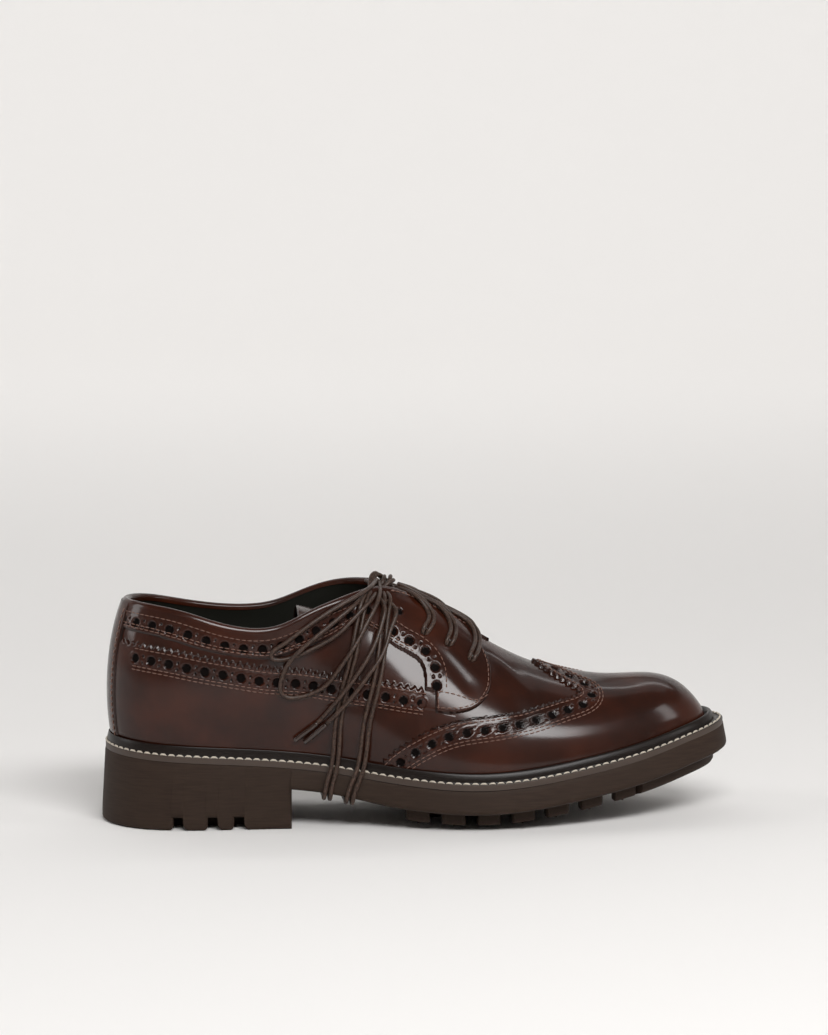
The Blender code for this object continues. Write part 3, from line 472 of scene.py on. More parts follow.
# Stations at even steps of leather at one height, and ups at even steps of one section
def evenStations(low, high, step, up, side):
    dense = np.linspace(float(angle(low)), float(angle(high)), 1500)
    steps = np.linalg.norm(np.diff(lastPoint(dense, up, side), axis=0), axis=1)
    run = np.concatenate([[0], np.cumsum(steps)])
    return np.interp(np.linspace(0, run[-1], int(run[-1] / step) + 2), run, dense)


def evenUps(low, high, step, along, side):
    dense = np.linspace(low, high, 600)
    section = lastPoint(float(angle(along)), dense, side)
    run = np.concatenate([[0], np.cumsum(np.linalg.norm(np.diff(section, axis=0), axis=1))])
    return np.interp(np.linspace(0, run[-1], int(run[-1] / step) + 2), run, dense)


# Smooth line of station and up through rows of along and up
def seamLine(rows, step=0.0006):
    rows = np.array(rows, float)
    scaled = rows * (soleLength, instepHeight)
    run = np.concatenate([[0], np.cumsum(np.linalg.norm(np.diff(scaled, axis=0), axis=1))])
    at = np.linspace(0, run[-1], int(run[-1] / step) + 2)
    along, up = spline(run, rows[:, 0])(at), spline(run, rows[:, 1])(at)
    return np.stack([angle(np.clip(along, 0, 1)), np.clip(up, 0, 1)], axis=-1)


# The line moved sideways over the leather by a distance: over its steps along the shoe and up the
# section, the nearest mix that gives the wanted move
def shifted(line, distance, side):
    moves = max(1, int(abs(distance) / 0.002))
    for _ in range(moves):
        along, across = lastSteps(line[:, 0], line[:, 1], side)
        points = lastPoint(line[:, 0], line[:, 1], side)
        normal = unit(np.cross(across, along) * side)
        tangent = unit(np.gradient(points, axis=0))
        move = np.cross(normal, tangent) * side * distance / moves
        aa, bb, ab = (np.sum(p * q, axis=1) for p, q in ((along, along), (across, across), (along, across)))
        am, bm = np.sum(along * move, axis=1), np.sum(across * move, axis=1)
        det = np.maximum(aa * bb - ab * ab, 1e-12)
        line = line + np.stack([(am * bb - bm * ab) / det, (bm * aa - am * ab) / det], axis=1)
        line[:, 0] = np.clip(line[:, 0], 0, 1)
        line[:, 1] = np.clip(line[:, 1], 0, 1)
    return line


def lineRun(points):
    return np.concatenate([[0], np.cumsum(np.linalg.norm(np.diff(points, axis=0), axis=1))])


# Distance of every point to a line, and how far along the line its nearest point lies
def nearest(points, line, reach):
    points = points.reshape(-1, 3)
    run = lineRun(line)
    first, span = line[:-1], np.diff(line, axis=0)
    square = np.maximum(np.sum(span * span, axis=1), 1e-16)
    distance, place = np.full(len(points), 1.0), np.zeros(len(points))
    low, high = line.min(axis=0) - reach, line.max(axis=0) + reach
    near = np.nonzero(np.all((points > low) & (points < high), axis=1))[0]
    for start in range(0, len(near), 4096):
        part = near[start:start + 4096]
        offset = points[part][:, None, :] - first[None]
        t = np.clip(np.einsum("ijk,jk->ij", offset, span) / square, 0, 1)
        gone = offset - t[..., None] * span[None]
        square2 = np.einsum("ijk,ijk->ij", gone, gone)
        best = np.argmin(square2, axis=1)
        rows = np.arange(len(part))
        distance[part] = np.sqrt(square2[rows, best])
        place[part] = run[best] + t[rows, best] * np.sqrt(square[best])
    return distance, place


def inside(along, up, polygon):
    polygon = np.asarray(polygon, float)
    result = np.zeros(along.shape, bool)
    for (a0, u0), (a1, u1) in zip(polygon, np.roll(polygon, -1, axis=0)):
        if u0 == u1:
            continue
        crossing = (up > min(u0, u1)) & (up <= max(u0, u1))
        at = a0 + (up - u0) * (a1 - a0) / (u1 - u0)
        result ^= crossing & (along < at)
    return result


# Zigzag of height 1 and the given pitch
def zigzag(run, pitch):
    return 1 - 4 * np.abs(run / pitch - np.floor(run / pitch) - 0.5)


# Stitches along a line on the leather: each a small arched thread whose ends sink in
def stitchPoints(points, normals, pitch, length, radius, arch):
    run = lineRun(points)
    centres = np.arange(pitch / 2, run[-1], pitch)
    parts = np.array([-1, -0.45, 0.45, 1]) * length / 2
    sizes = np.array([0.35, 1.0, 1.0, 0.35]) * radius
    highs = np.array([-0.4, 1.0, 1.0, -0.4]) * arch
    at = centres[:, None] + parts
    line = np.stack([np.interp(at, run, points[:, k]) for k in range(3)], axis=-1)
    normal = unit(np.stack([np.interp(at, run, normals[:, k]) for k in range(3)], axis=-1))
    tangent = unit(line[:, -1] - line[:, 0])[:, None, :] + np.zeros_like(line)
    across = unit(np.cross(tangent, normal))
    turn = np.arange(5) * 2 * math.pi / 5
    middle = line + normal * highs[None, :, None]
    ring = (np.cos(turn)[None, None, :, None] * across[:, :, None, :] +
            np.sin(turn)[None, None, :, None] * normal[:, :, None, :])
    ring = middle[:, :, None, :] + ring * sizes[None, :, None, None]
    return ring.reshape(-1, 3), len(centres)


def stitchFaces(count, start):
    base = np.arange(count)[:, None, None] * 20
    r, s = np.meshgrid(np.arange(3), np.arange(5), indexing="ij")
    quad = np.stack([r * 5 + s, r * 5 + (s + 1) % 5, (r + 1) * 5 + (s + 1) % 5, (r + 1) * 5 + s], axis=-1)
    return (base + quad.reshape(1, -1, 4)).reshape(-1, 4) + start


class Thread:
    def __init__(self):
        self.points, self.faces, self.count = [], [], 0

    def sew(self, points, normals, pitch=0.0029, length=0.0024, radius=0.00027, arch=0.00022):
        rings, count = stitchPoints(points, normals, pitch, length, radius, arch)
        self.faces.append(stitchFaces(count, self.count))
        self.points.append(rings)
        self.count += len(rings)

    def sewSeam(self, line, side, height, **sizes):
        points = lastOffset(line[:, 0], line[:, 1], side, height)
        self.sew(points, lastNormal(line[:, 0], line[:, 1], side), **sizes)

    def finish(self, name, surface):
        return addPiece(name, np.concatenate(self.points), np.concatenate(self.faces), [surface])


# Seams of one side, as rows of along and up
holePitch = 0.0089
holeRadius = 0.00235
pinRadius = 0.00075
gimpPitch = 0.0034
frontRows = (
    (0.583, 1.000), (0.590, 0.960), (0.598, 0.895), (0.607, 0.815), (0.616, 0.750), (0.6225, 0.680),
    (0.6235, 0.600), (0.6205, 0.510), (0.612, 0.450), (0.596, 0.391), (0.573, 0.353), (0.552, 0.338),
    (0.531, 0.332))
collarBandRows = (
    (0.000, 0.800), (0.050, 0.798), (0.140, 0.785), (0.208, 0.785), (0.260, 0.757), (0.310, 0.745),
    (0.352, 0.750), (0.378, 0.770), (0.395, 0.787))
eyestayRows = (
    (0.395, 0.787), (0.410, 0.752), (0.430, 0.703), (0.450, 0.652), (0.470, 0.615), (0.490, 0.590),
    (0.5055, 0.560), (0.5125, 0.520), (0.514, 0.475), (0.514, 0.430))
eyelets = ((0.5895, 0.650), (0.5520, 0.694), (0.5130, 0.720), (0.472, 0.818))


class Seams:
    def __init__(self, side):
        alongs = np.linspace(0.0, 0.531, 120)
        self.front = seamLine(frontRows)
        self.band = seamLine([(a, float(bandEdge(angle(a)))) for a in np.linspace(0.012, 0.531, 40)])
        self.collar = seamLine(collarBandRows)
        self.eyestay = seamLine(eyestayRows)
        self.rim = seamLine([(a, 1.0) for a in alongs])
        ups = np.linspace(0, 1, 60)
        self.wing = seamLine([(float(wingEdge(u)), u) for u in ups])
        self.side = side

    def points(self, line, height=0.0):
        return lastOffset(line[:, 0], line[:, 1], self.side, height)


# Punched pattern along a line: a large hole at every pitch, with two pin holes between
def punches(seams, line, offset, startTrim, endTrim):
    middle = shifted(line, offset, seams.side)
    points = seams.points(middle)
    run = lineRun(points)
    span = run[-1] - startTrim - endTrim
    count = max(1, int(round(span / holePitch)))
    large = startTrim + span * (np.arange(count + 1)) / count
    between = (large[:-1] + large[1:]) / 2

    def at(places, line3):
        length = lineRun(line3)
        scale = length[-1] / run[-1]
        return np.stack([np.interp(places * scale, length, line3[:, k]) for k in range(3)], axis=-1)

    upper = seams.points(shifted(middle, 0.0016, seams.side))
    lower = seams.points(shifted(middle, -0.0016, seams.side))
    return at(large, points), np.concatenate([at(between, upper), at(between, lower)])


def centreDistance(points, centres):
    flat = points.reshape(-1, 3)
    result = np.full(len(flat), 1.0)
    for start in range(0, len(flat), 8192):
        part = flat[start:start + 8192]
        gone = part[:, None, :] - centres[None]
        result[start:start + 8192] = np.sqrt(np.min(np.einsum("ijk,ijk->ij", gone, gone), axis=1))
    return result.reshape(points.shape[:-1])


# Depth of holes in the leather: a bowl with a rolled rim. The mark is 1 inside, where holes are painted
# near-black as painted shade
def punch(height, holeShade, points, centres, radius, depth):
    distance = centreDistance(points, centres)
    inner = 1 - smooth(distance, radius - 0.00045, radius + 0.00010)
    rim = np.exp(-((distance - radius - 0.00045) / 0.00040) ** 2)
    height = height - depth * inner + 0.00012 * rim
    return height, np.maximum(holeShade, 1 - smooth(distance, radius - 0.00050, radius - 0.00010))


# Mark of the raw cut edge: 1 in the thin strip where a sheet's height falls off. The strip is painted darker,
# partly as the leather's own cut edge and partly as painted shade beside the step
def cutEdgeAndShade(signed):
    return smooth(signed, -0.0007, -0.0003) * (1 - smooth(signed, 0.0, 0.0004))


# Quarter of one side: heights over the last are the largest of the quarter, the heel band, the
# collar band with the eyestay, and the tab; outside them the sheet dives under the vamp
def makeQuarter(side, thread):
    seams = Seams(side)
    stations = evenStations(0.0, 0.632, 0.00046, 0.5, side)
    ups = evenUps(0.0, 1.0, 0.00046, 0.30, side)
    station, up = np.meshgrid(stations, ups, indexing="ij")
    along = share(station)
    points = lastPoint(station, up, side)
    shape = station.shape

    def distanceTo(line, reach=0.006):
        distance, place = nearest(points, seams.points(line), reach)
        return distance.reshape(shape), place.reshape(shape)

    front = np.stack([share(seams.front[:, 0]), seams.front[:, 1]], axis=1)
    quarterShape = [(-0.01, 1.02), (0.583, 1.02)] + front.tolist() + [(0.531, -0.02), (-0.01, -0.02)]
    insideQuarter = inside(along, up, quarterShape)
    toFront, _ = distanceTo(seams.front)
    tabBack, _ = distanceTo(seamLine(((0.531, 0.332), (0.531, 0.380), (0.531, 0.436))))
    signed = np.where(insideQuarter, toFront, -toFront)
    quarter = -0.0008 + 0.0014 * smooth(signed, -0.00035, 0.00025)
    below = 1 - smooth(up, 0.330, 0.345)
    underCap = smooth(along - wingEdge(up), 0.006, 0.012)
    dip = np.maximum(underCap, smooth(along, 0.56, 0.575))
    vampLevel = 0.00008 + 0.0005 * (1 - smooth(along, 0.44, 0.53)) - 0.0009 * dip
    quarter = quarter * (1 - below) + vampLevel * below

    toBand, bandRun = distanceTo(seams.band)
    signedBand = np.where(up < bandEdge(station), toBand, -toBand) + 0.0011 * zigzag(bandRun, gimpPitch)
    frontFade = 1 - smooth(along, 0.500, 0.530)
    lowFade = 1 - smooth(toBand, 0.014, 0.022) * (up < 0.5)
    bandHeight = 0.0008 + 0.0006 + (stackHeight - 0.0006) * np.maximum(lowFade, 1 - smooth(along, 0.30, 0.50))
    band = -0.0008 + bandHeight * smooth(signedBand, -0.00025, 0.00025) * frontFade

    collar = np.stack([share(seams.collar[:, 0]), seams.collar[:, 1]], axis=1)
    eyestay = np.stack([share(seams.eyestay[:, 0]), seams.eyestay[:, 1]], axis=1)
    stayShape = [(-0.01, 1.02)] + [(-0.01, 0.800)] + collar.tolist() + eyestay.tolist()
    stayShape += [(0.531, 0.430), (0.531, 0.332)] + front[::-1].tolist() + [(0.583, 1.02)]
    insideStay = inside(along, up, stayShape)
    toCollar, _ = distanceTo(seams.collar)
    toEyestay, _ = distanceTo(seams.eyestay)
    toStay = np.minimum(np.minimum(toCollar, toEyestay), np.minimum(toFront, tabBack))
    signedStay = np.where(insideStay, toStay, -toStay)
    stayHeight = stackHeight + 0.0012 * smooth(along, 0.46, 0.52)
    stay = -0.0008 + (stayHeight + 0.0008) * smooth(signedStay, -0.00035, 0.00025)

    height = np.maximum(np.maximum(quarter, band), stay)
    dive = underCap * below
    height = height * (1 - dive) - 0.0008 * dive
    edge = np.maximum(cutEdgeAndShade(signedStay), cutEdgeAndShade(signedBand) * frontFade)

    holeShade = np.zeros(shape)
    patterns = [punches(seams, seams.band, 0.0067, 0.012, 0.006),
                punches(seams, seams.eyestay, -0.0052, 0.020, 0.001)]
    rimLine = seams.rim[share(seams.rim[:, 0]) < 0.405]
    patterns.append(punches(seams, rimLine, 0.0088, 0.012, 0.001))
    large = np.concatenate([one[0] for one in patterns])
    small = np.concatenate([one[1] for one in patterns])
    height, holeShade = punch(height, holeShade, points, large, holeRadius, 0.0011)
    height, holeShade = punch(height, holeShade, points, small, pinRadius, 0.0006)
    laceHoles = np.array([lastPoint(float(angle(a)), u, side) for a, u in eyelets])
    height, holeShade = punch(height, holeShade, points, laceHoles, 0.0019, 0.0012)

    final = lastOffset(station, up, side, height)
    addPiece(f"quarter_{sideNames[side]}", final, gridFaces(*shape, turned=side > 0), [leather, holeShadeSurface],
             (f"heel_band_{sideNames[side]}", f"facing_{sideNames[side]}"),
             {"holeShade": holeShade, "edge": edge})

    lay = stackHeight + 0.00005
    for offset in (0.0021, 0.0104, 0.0120):
        thread.sewSeam(shifted(seams.band, offset, side)[12:-8], side, lay)
    for offset in (-0.0014, -0.0028):
        thread.sewSeam(shifted(seams.collar, offset, side), side, lay)
        thread.sewSeam(shifted(seams.eyestay, offset, side)[8:], side, lay + 0.0004)
    thread.sewSeam(shifted(seams.eyestay, -0.0098, side)[30:], side, lay + 0.0011)
    thread.sewSeam(shifted(rimLine, 0.0045, side), side, lay)
    thread.sewSeam(shifted(seams.front, 0.0017, side), side, lay + 0.0012)
    slit = seamLine([(a, 1.0) for a in np.linspace(0.45, 0.583, 20)])
    thread.sewSeam(shifted(slit, 0.0030, side), side, lay + 0.0010)
    for rows in (((0.534, 0.425), (0.565, 0.425), (0.600, 0.428), (0.6165, 0.470)),
                 ((0.534, 0.422), (0.534, 0.380), (0.534, 0.345))):
        thread.sewSeam(seamLine(rows), side, lay + 0.0012)
    return seams


# Wing cap: heights over the last rise from under the vamp to the cap's thickness behind a gimped edge
def makeWingCap(seamsBySide, thread):
    halfUps = evenUps(0.0, 1.0, 0.00052, 0.72, -1)
    pieces = []
    for side, ups in ((-1, halfUps), (1, halfUps[::-1][1:])):
        seams = seamsBySide[side]
        starts = angle(wingEdge(ups)) - 0.008
        length = 1 - starts
        dense = np.linspace(0, 0.34, 118)
        coarse = 0.34 + (1 - 0.34) * np.linspace(0, 1, 46)[1:]
        shares = np.concatenate([dense, coarse])
        station = starts[:, None] + length[:, None] * shares[None]
        up = np.broadcast_to(ups[:, None], station.shape)
        points = lastPoint(station, up, side)
        line = seams.points(seams.wing)
        distance, run = nearest(points, line, 0.008)
        distance, run = distance.reshape(station.shape), run.reshape(station.shape)
        insideCap = share(station) > wingEdge(up)
        signed = np.where(insideCap, distance, -distance) + 0.0011 * zigzag(run, gimpPitch)
        height = -0.0008 + (stackHeight + 0.0008) * smooth(signed, -0.00025, 0.00025)
        holeShade = np.zeros(station.shape)
        large, small = punches(seams, seams.wing, 0.0064, 0.006, 0.003)
        height, holeShade = punch(height, holeShade, points, large, holeRadius, 0.0011)
        height, holeShade = punch(height, holeShade, points, small, pinRadius, 0.0006)
        edge = cutEdgeAndShade(signed)
        pieces.append((lastOffset(station, up, side, height), holeShade, edge))
        for offset in (0.0021, 0.0104, 0.0120):
            thread.sewSeam(shifted(seams.wing, offset, side)[10:], side, stackHeight + 0.00005)
    points, holeShade, edge = (np.concatenate([one[k] for one in pieces]) for k in range(3))
    addPiece("wing_cap_leather", points, gridFaces(*holeShade.shape, turned=True), [leather, holeShadeSurface],
             ("wing_cap",), {"holeShade": holeShade, "edge": edge})


# Base shell: vamp outside, lining inside
def makeShell():
    throat = float(angle(throatShare))
    opened = np.linspace(0, throat, 90)
    closed = np.linspace(throat + 0.0015, 1, 90)
    stations = np.concatenate([opened, closed])
    ups = np.linspace(0, 1, 46)
    station, up = np.meshgrid(stations, ups, indexing="ij")
    rows, cols = station.shape
    points, faces, which, start = [], [], [], 0
    for side in (-1, 1):
        for offset, slotIndex in ((0.0, 0), (-wall, 1)):
            points.append(lastOffset(station, up, side, offset).reshape(-1, 3))
            turned = (side > 0) != (slotIndex == 1)
            quads = gridFaces(rows, cols, turned, start=start)
            faces.append(quads)
            which.append(np.full(len(quads), slotIndex))
            start += rows * cols
    addPiece("vamp_and_lining", np.concatenate(points), np.concatenate(faces), [leather, lining], ("upper",),
             None, np.concatenate(which))


# Throat of the vamp: the slit's front part is closed by the vamp, which sinks backwards to the tongue
def makeThroat():
    bridge = np.linspace(-1, 1, 25)[:, None]
    rows = []
    for along in np.linspace(0.545, 0.6315, 40):
        station, sink = float(angle(min(along, 0.6279))), 0.0030 * (1 - float(smooth(along, 0.560, 0.612)))
        left = lastOffset(station, 1.0, -1, -sink)
        right = lastOffset(station, 1.0, 1, -sink)
        middle = (left + right) / 2 + (right - left) / 2 * bridge * 1.12
        beyond = along - min(along, 0.6279)
        dome = 0.0011 * (1 - bridge[:, 0] ** 2) - 0.0006 * np.abs(bridge[:, 0]) ** 3 + 0.0003
        middle[:, 0] += beyond * soleLength
        middle[:, 2] += dome - 0.5 * beyond * soleLength
        rows.append(middle)
    points = np.array(rows)
    blank = np.zeros(points.shape[:2])
    addPiece("vamp_throat", points, gridFaces(*points.shape[:2]), [leather],
             marks={"holeShade": blank, "edge": blank})


# Edge binding: a rounded rim over the collar and the facing edges, from outside to inside
def makeBinding():
    shareEnd = 0.583
    stations = {side: evenStations(0.0, shareEnd, 0.0012, 1.0, side) for side in (-1, 1)}
    ring = [(-1, s) for s in stations[-1][::-1]] + [(1, s) for s in stations[1][1:]]
    rows = []
    for side, station in ring:
        outer = lastOffset(station, 1.0, side, stackHeight + 0.0001)
        inner = lastOffset(station, 1.0, side, -wall - 0.0001)
        lowOut = lastOffset(station, 0.968, side, stackHeight + 0.00030)
        lowIn = lastOffset(station, 0.980, side, -wall - 0.00035)
        middle = (outer + inner) / 2
        half = (outer - inner) / 2
        upward = unit((outer + inner - lowOut - lowIn) / 2) * np.linalg.norm(half) * 0.8
        turns = np.linspace(0, math.pi, 9)
        arc = [middle + half * math.cos(t) + upward * math.sin(t) for t in turns]
        rows.append([lowOut, lowOut * 0.4 + outer * 0.6 + half * 0.12] + arc + [lowIn])
    points = np.array(rows)
    blank = np.zeros(points.shape[:2])
    addPiece("collar_binding", points, gridFaces(*points.shape[:2], turned=True), [leather],
             marks={"holeShade": blank, "edge": blank})


# Evens out rows of points: each one moves to the weighted mean of itself and its two neighbours
def smoothAcross(grid, times):
    for _ in range(times):
        grid[:, 1:-1] = (grid[:, :-2] + 2 * grid[:, 1:-1] + grid[:, 2:]) / 4
        grid[1:-1] = (grid[:-2] + 2 * grid[1:-1] + grid[2:]) / 4
    return grid


# Tongue: the solid's sections, with smooth lines between them
def makeTongue():
    alongs = [row[0] for row in tongueRows][::-1]
    values = [spline(alongs, [row[k] for row in tongueRows][::-1]) for k in range(1, 5)]
    bridge = np.linspace(-0.8, 0.8, 17)
    outer, inner = [], []
    for along in np.linspace(0.306, 0.66, 90):
        crown, upEdge, _, upInner = (float(value(along)) for value in values)
        ups = np.linspace(upEdge, upInner, 9)
        for grid, depth in ((outer, wall + 4 * gap), (inner, wall + 4 * gap + 0.002)):
            station = float(angle(along))
            left = lastOffset(station, ups, -1, -depth)
            right = lastOffset(station, ups, 1, -depth)
            middle = left[-1] + (right[-1] - left[-1]) * ((bridge[:, None] + 1) / 2)
            middle[:, 2] += crown * (1 - bridge ** 2)
            grid.append(np.concatenate([left, middle, right[::-1]]))
    outer, inner = (smoothAcross(np.array(grid), 14) for grid in (outer, inner))
    edge = (outer[0] + inner[0]) / 2 + np.array([-0.0009, 0, 0])
    points = np.concatenate([inner[::-1], edge[None], outer])
    blank = np.zeros(points.shape[:2])
    addPiece("tongue_leather", points, gridFaces(*points.shape[:2]), [leather], ("tongue",),
             {"holeShade": blank, "edge": blank})


# Back strap over the heel seam
def makeStrap(thread):
    halfWidth = 0.0135
    shares = np.linspace(-1.12, 1.12, 56)
    ups = evenUps(0.0, 0.985, 0.0008, 0.02, -1)
    stationAt = {}
    for side in (-1, 1):
        dense = np.linspace(0, 0.2, 400)
        width = (ballWidth / 2 - sideMargin) * plan[side](dense)
        stationAt[side] = lambda w, dense=dense, width=width: np.interp(w, width, dense)
    points = np.zeros((len(shares), len(ups), 3))
    edge = np.zeros((len(shares), len(ups)))
    for i, part in enumerate(shares):
        side = -1 if part < 0 else 1
        station = float(stationAt[side](abs(part) * halfWidth))
        distance = (1 - abs(part)) * halfWidth
        height = -0.0002 + (stackHeight + 0.0009) * smooth(distance, -0.0003, 0.0002)
        points[i] = lastOffset(station, ups, side, float(height))
        # Strap's border strip: darker, partly its cut edge and partly painted shade along its step
        edge[i] = 1 - smooth(distance, 0.0, 0.0009)
    addPiece("back_strap_leather", points, gridFaces(len(shares), len(ups), turned=True), [leather],
             ("back_strap",), {"holeShade": np.zeros(edge.shape), "edge": edge})
    for side in (-1, 1):
        station = float(stationAt[side](halfWidth - 0.0021))
        line = np.stack([np.full(120, station), np.linspace(0.06, 0.95, 120)], axis=1)
        thread.sewSeam(line, side, stackHeight + 0.00075)


# Insole: flat sock inside the shoe
def makeInsole():
    stations = np.linspace(0, 1, 140)
    rows = []
    for station in stations:
        left = lastOffset(station, 0, -1, -wall - 3 * gap)
        right = lastOffset(station, 0, 1, -wall - 3 * gap)
        t = np.linspace(0, 1, 15)[:, None]
        row = left + (right - left) * t
        row[:, 2] = seat(row[:, 0]) + 0.0033 + 0.0012 * (2 * t[:, 0] - 1) ** 4
        rows.append(row)
    points = np.array(rows)
    addPiece("sock_lining", points, gridFaces(*points.shape[:2]), [lining], ("insole",))


# Storm welt: flat flange, a raised bead against the upper, and a row of stitches along the edge
def makeWelt():
    spans = (np.linspace(0, 0.06, 50), np.linspace(0.06, 0.94, 330)[1:], np.linspace(0.94, 1, 50)[1:])
    half = np.concatenate(spans)
    ring = [(-1, s) for s in half] + [(1, s) for s in half[-2:0:-1]]
    foot = np.array([lastPoint(s, 0, side) for side, s in ring])
    raised = np.array([lastOffset(s, 0.085, side, overlay + 2 * gap) for side, s in ring])
    rim = np.array([soleEdge(s, side, edgeSlant) for side, s in ring])
    tangent = np.roll(foot[:, :2], -1, axis=0) - np.roll(foot[:, :2], 1, axis=0)
    outward = unit(np.stack([tangent[:, 1], -tangent[:, 0]], axis=-1))
    outward = outward if outward[0, 0] < 0 else -outward

    def distance(points):
        return np.einsum("ij,ij->i", points[:, :2] - foot[:, :2], outward)

    start = np.maximum(overlay + 2 * gap, distance(raised) + gap)
    room = distance(rim) - start
    bead = np.minimum(beadWidth, room * 0.6)
    profile = [(-0.004, 0, -weltThickness), (-0.004, 0, 0), (0, 0, 0), (0, 0, 0.80)]
    for t in np.linspace(0.12, 0.95, 9):
        profile.append((0, t, 0.62 + 0.40 * math.sin(math.pi * (0.16 + 0.84 * t)) - 0.25 * t * t))
    profile += [(0, 1.0, 0.20), (0, 1.05, 0.03), (0, 1.25, 0)]
    rows = []
    for fixed, part, high in profile:
        out = start + bead * part if fixed == 0 else np.full(len(foot), fixed)
        z = high * beadHeight if abs(high) > weltThickness * 2 or high == 0 else high
        rows.append((out, z))
    for part, high in ((0.55, 0.0), (0.80, 0.0), (0.93, -0.0001), (0.985, -0.0004), (1.0, -0.0010),
                       (1.0, -weltThickness)):
        rows.append((start + bead * 1.25 + (room - bead * 1.25) * part, high))
    points = []
    for out, high in rows:
        place = foot[:, :2] + outward * out[:, None]
        z = seat(place[:, 0]) + high
        points.append(np.column_stack([place, z]))
    points = np.array(points)
    faces = gridFaces(len(ring), len(rows), wrap=True, turned=True)
    trimmed = (np.arange(len(rows) - 1) > len(rows) - 5).astype(int)
    addPiece("storm_welt_strip", points.transpose(1, 0, 2), faces, [welting, weltEdge], ("storm_welt",),
             None, np.tile(trimmed, len(ring)))
    inset = np.minimum(0.0013, 0.40 * (room - bead * 1.05))
    line = foot[:, :2] + outward * (start + room - inset)[:, None]
    line = np.column_stack([line, seat(line[:, 0]) + 0.0001])
    line = np.concatenate([line, line[:1]])
    thread = Thread()
    thread.sew(line, np.broadcast_to([0.0, 0.0, 1.0], line.shape), 0.0041, 0.0035, 0.00050, 0.00040)
    thread.finish("welt_stitches", creamThread)


def sideDepth(x):
    blend = smooth(x / soleLength, 0.33, 0.47)
    return waistThickness + (sideThickness - waistThickness) * blend


def soleUnder(x, across):
    bow = ballHeight - sideThickness - lugHeight
    fore = smooth(x, heelLength, 0.5 * soleLength)
    toeFade = np.clip((soleLength - x) / (0.35 * soleLength), 0, 1)
    return seat(x) - sideDepth(x) - bow * fore * np.sqrt(toeFade) * (1 - across ** 2)


# Underside of the heel's rim: the notches' roof, and corners that curve down beside them
def heelBottom(x, edges):
    radius = 0.0022
    for low, high in edges:
        if low < x < high:
            return notchHeight
        away = low - x if x <= low else x - high
        if 0 <= away < radius:
            return radius - math.sqrt(radius ** 2 - (radius - away) ** 2)
    return 0.0


# Sole: side walls that slant outward, an underside that bows down, and the heel block
def makeSole():
    breast = float(angle(heelLength / soleLength))
    edges = [(start, start + notchLength) for start in notchStarts]
    steps = (0, 0.0002, 0.0007, 0.0014, 0.0022)
    marks = [x + out * step for pair in edges for x, out in zip(pair, (-1, 1)) for step in steps]
    roofEnds = [pair[0] + 1e-5 for pair in edges] + [pair[1] - 1e-5 for pair in edges]
    heel = np.sort(np.concatenate([np.linspace(0, breast, 60), angle(np.array(marks) / soleLength),
                                   angle(np.array(roofEnds) / soleLength)]))
    fore = np.linspace(breast, 1, 170)
    stations = np.concatenate([heel, fore])
    inHeel = np.arange(len(stations)) < len(heel)
    nudge = np.where(np.arange(len(stations)) == len(heel), 1e-5, 0)
    levels = np.array([0, 0.04, 0.30, 0.60, 0.85, 0.94, 1.0])
    outs = np.array([0.0, 0.0003, 0.0008, 0.0014, 0.0019, 0.0020, 0.0020])
    across = np.concatenate([[-1, -0.9, -0.78, -0.72], np.linspace(-0.6, 0.6, 13), [0.72, 0.78, 0.9, 1]])
    rows = []
    for station, heelRow, move in zip(stations, inHeel, nudge):
        x0 = soleEdge(station, -1)[0]
        top = float(seat(x0)) - weltThickness - gap
        bottom = heelBottom(x0, edges) if heelRow else float(soleUnder(x0, 1.0))
        sides = []
        for side in (-1, 1):
            wallLine = []
            for level, out in zip(levels, outs):
                x, y = soleEdge(station, side, edgeSlant - out)
                z = top + (bottom + 0.0016 - top) * level
                wallLine.append((x + move, y, z))
            for turn in (0.35, 0.8):
                x, y = soleEdge(station, side, 0.0016 * (1 - math.cos(turn * math.pi / 2)))
                wallLine.append((x + move, y, bottom + 0.0016 * (1 - math.sin(turn * math.pi / 2))))
            sides.append(wallLine)
        x1, lowLeft = soleEdge(station, -1, 0.0016)
        lowRight = soleEdge(station, 1, 0.0016)[1]
        under = []
        half = (lowRight - lowLeft) / 2
        for part in across:
            if heelRow:
                if abs(abs(part) - 0.75) < 0.05 and half > notchDepth:
                    notchEnd = notchDepth + (1e-5 if abs(part) < 0.75 else -1e-5)
                    part = math.copysign(1 - notchEnd / half, part)
                depth = (1 - abs(part)) * half
                z = bottom if depth < notchDepth and half > notchDepth else 0.0
            else:
                z = float(soleUnder(x1, part))
            under.append((x1 + move, (lowLeft + lowRight) / 2 + half * part, z))
        rows.append(sides[0] + under + sides[1][::-1])
    points = np.array(rows)
    addPiece("rubber_sole", points, gridFaces(*points.shape[:2]), [rubber], ("outsole",))


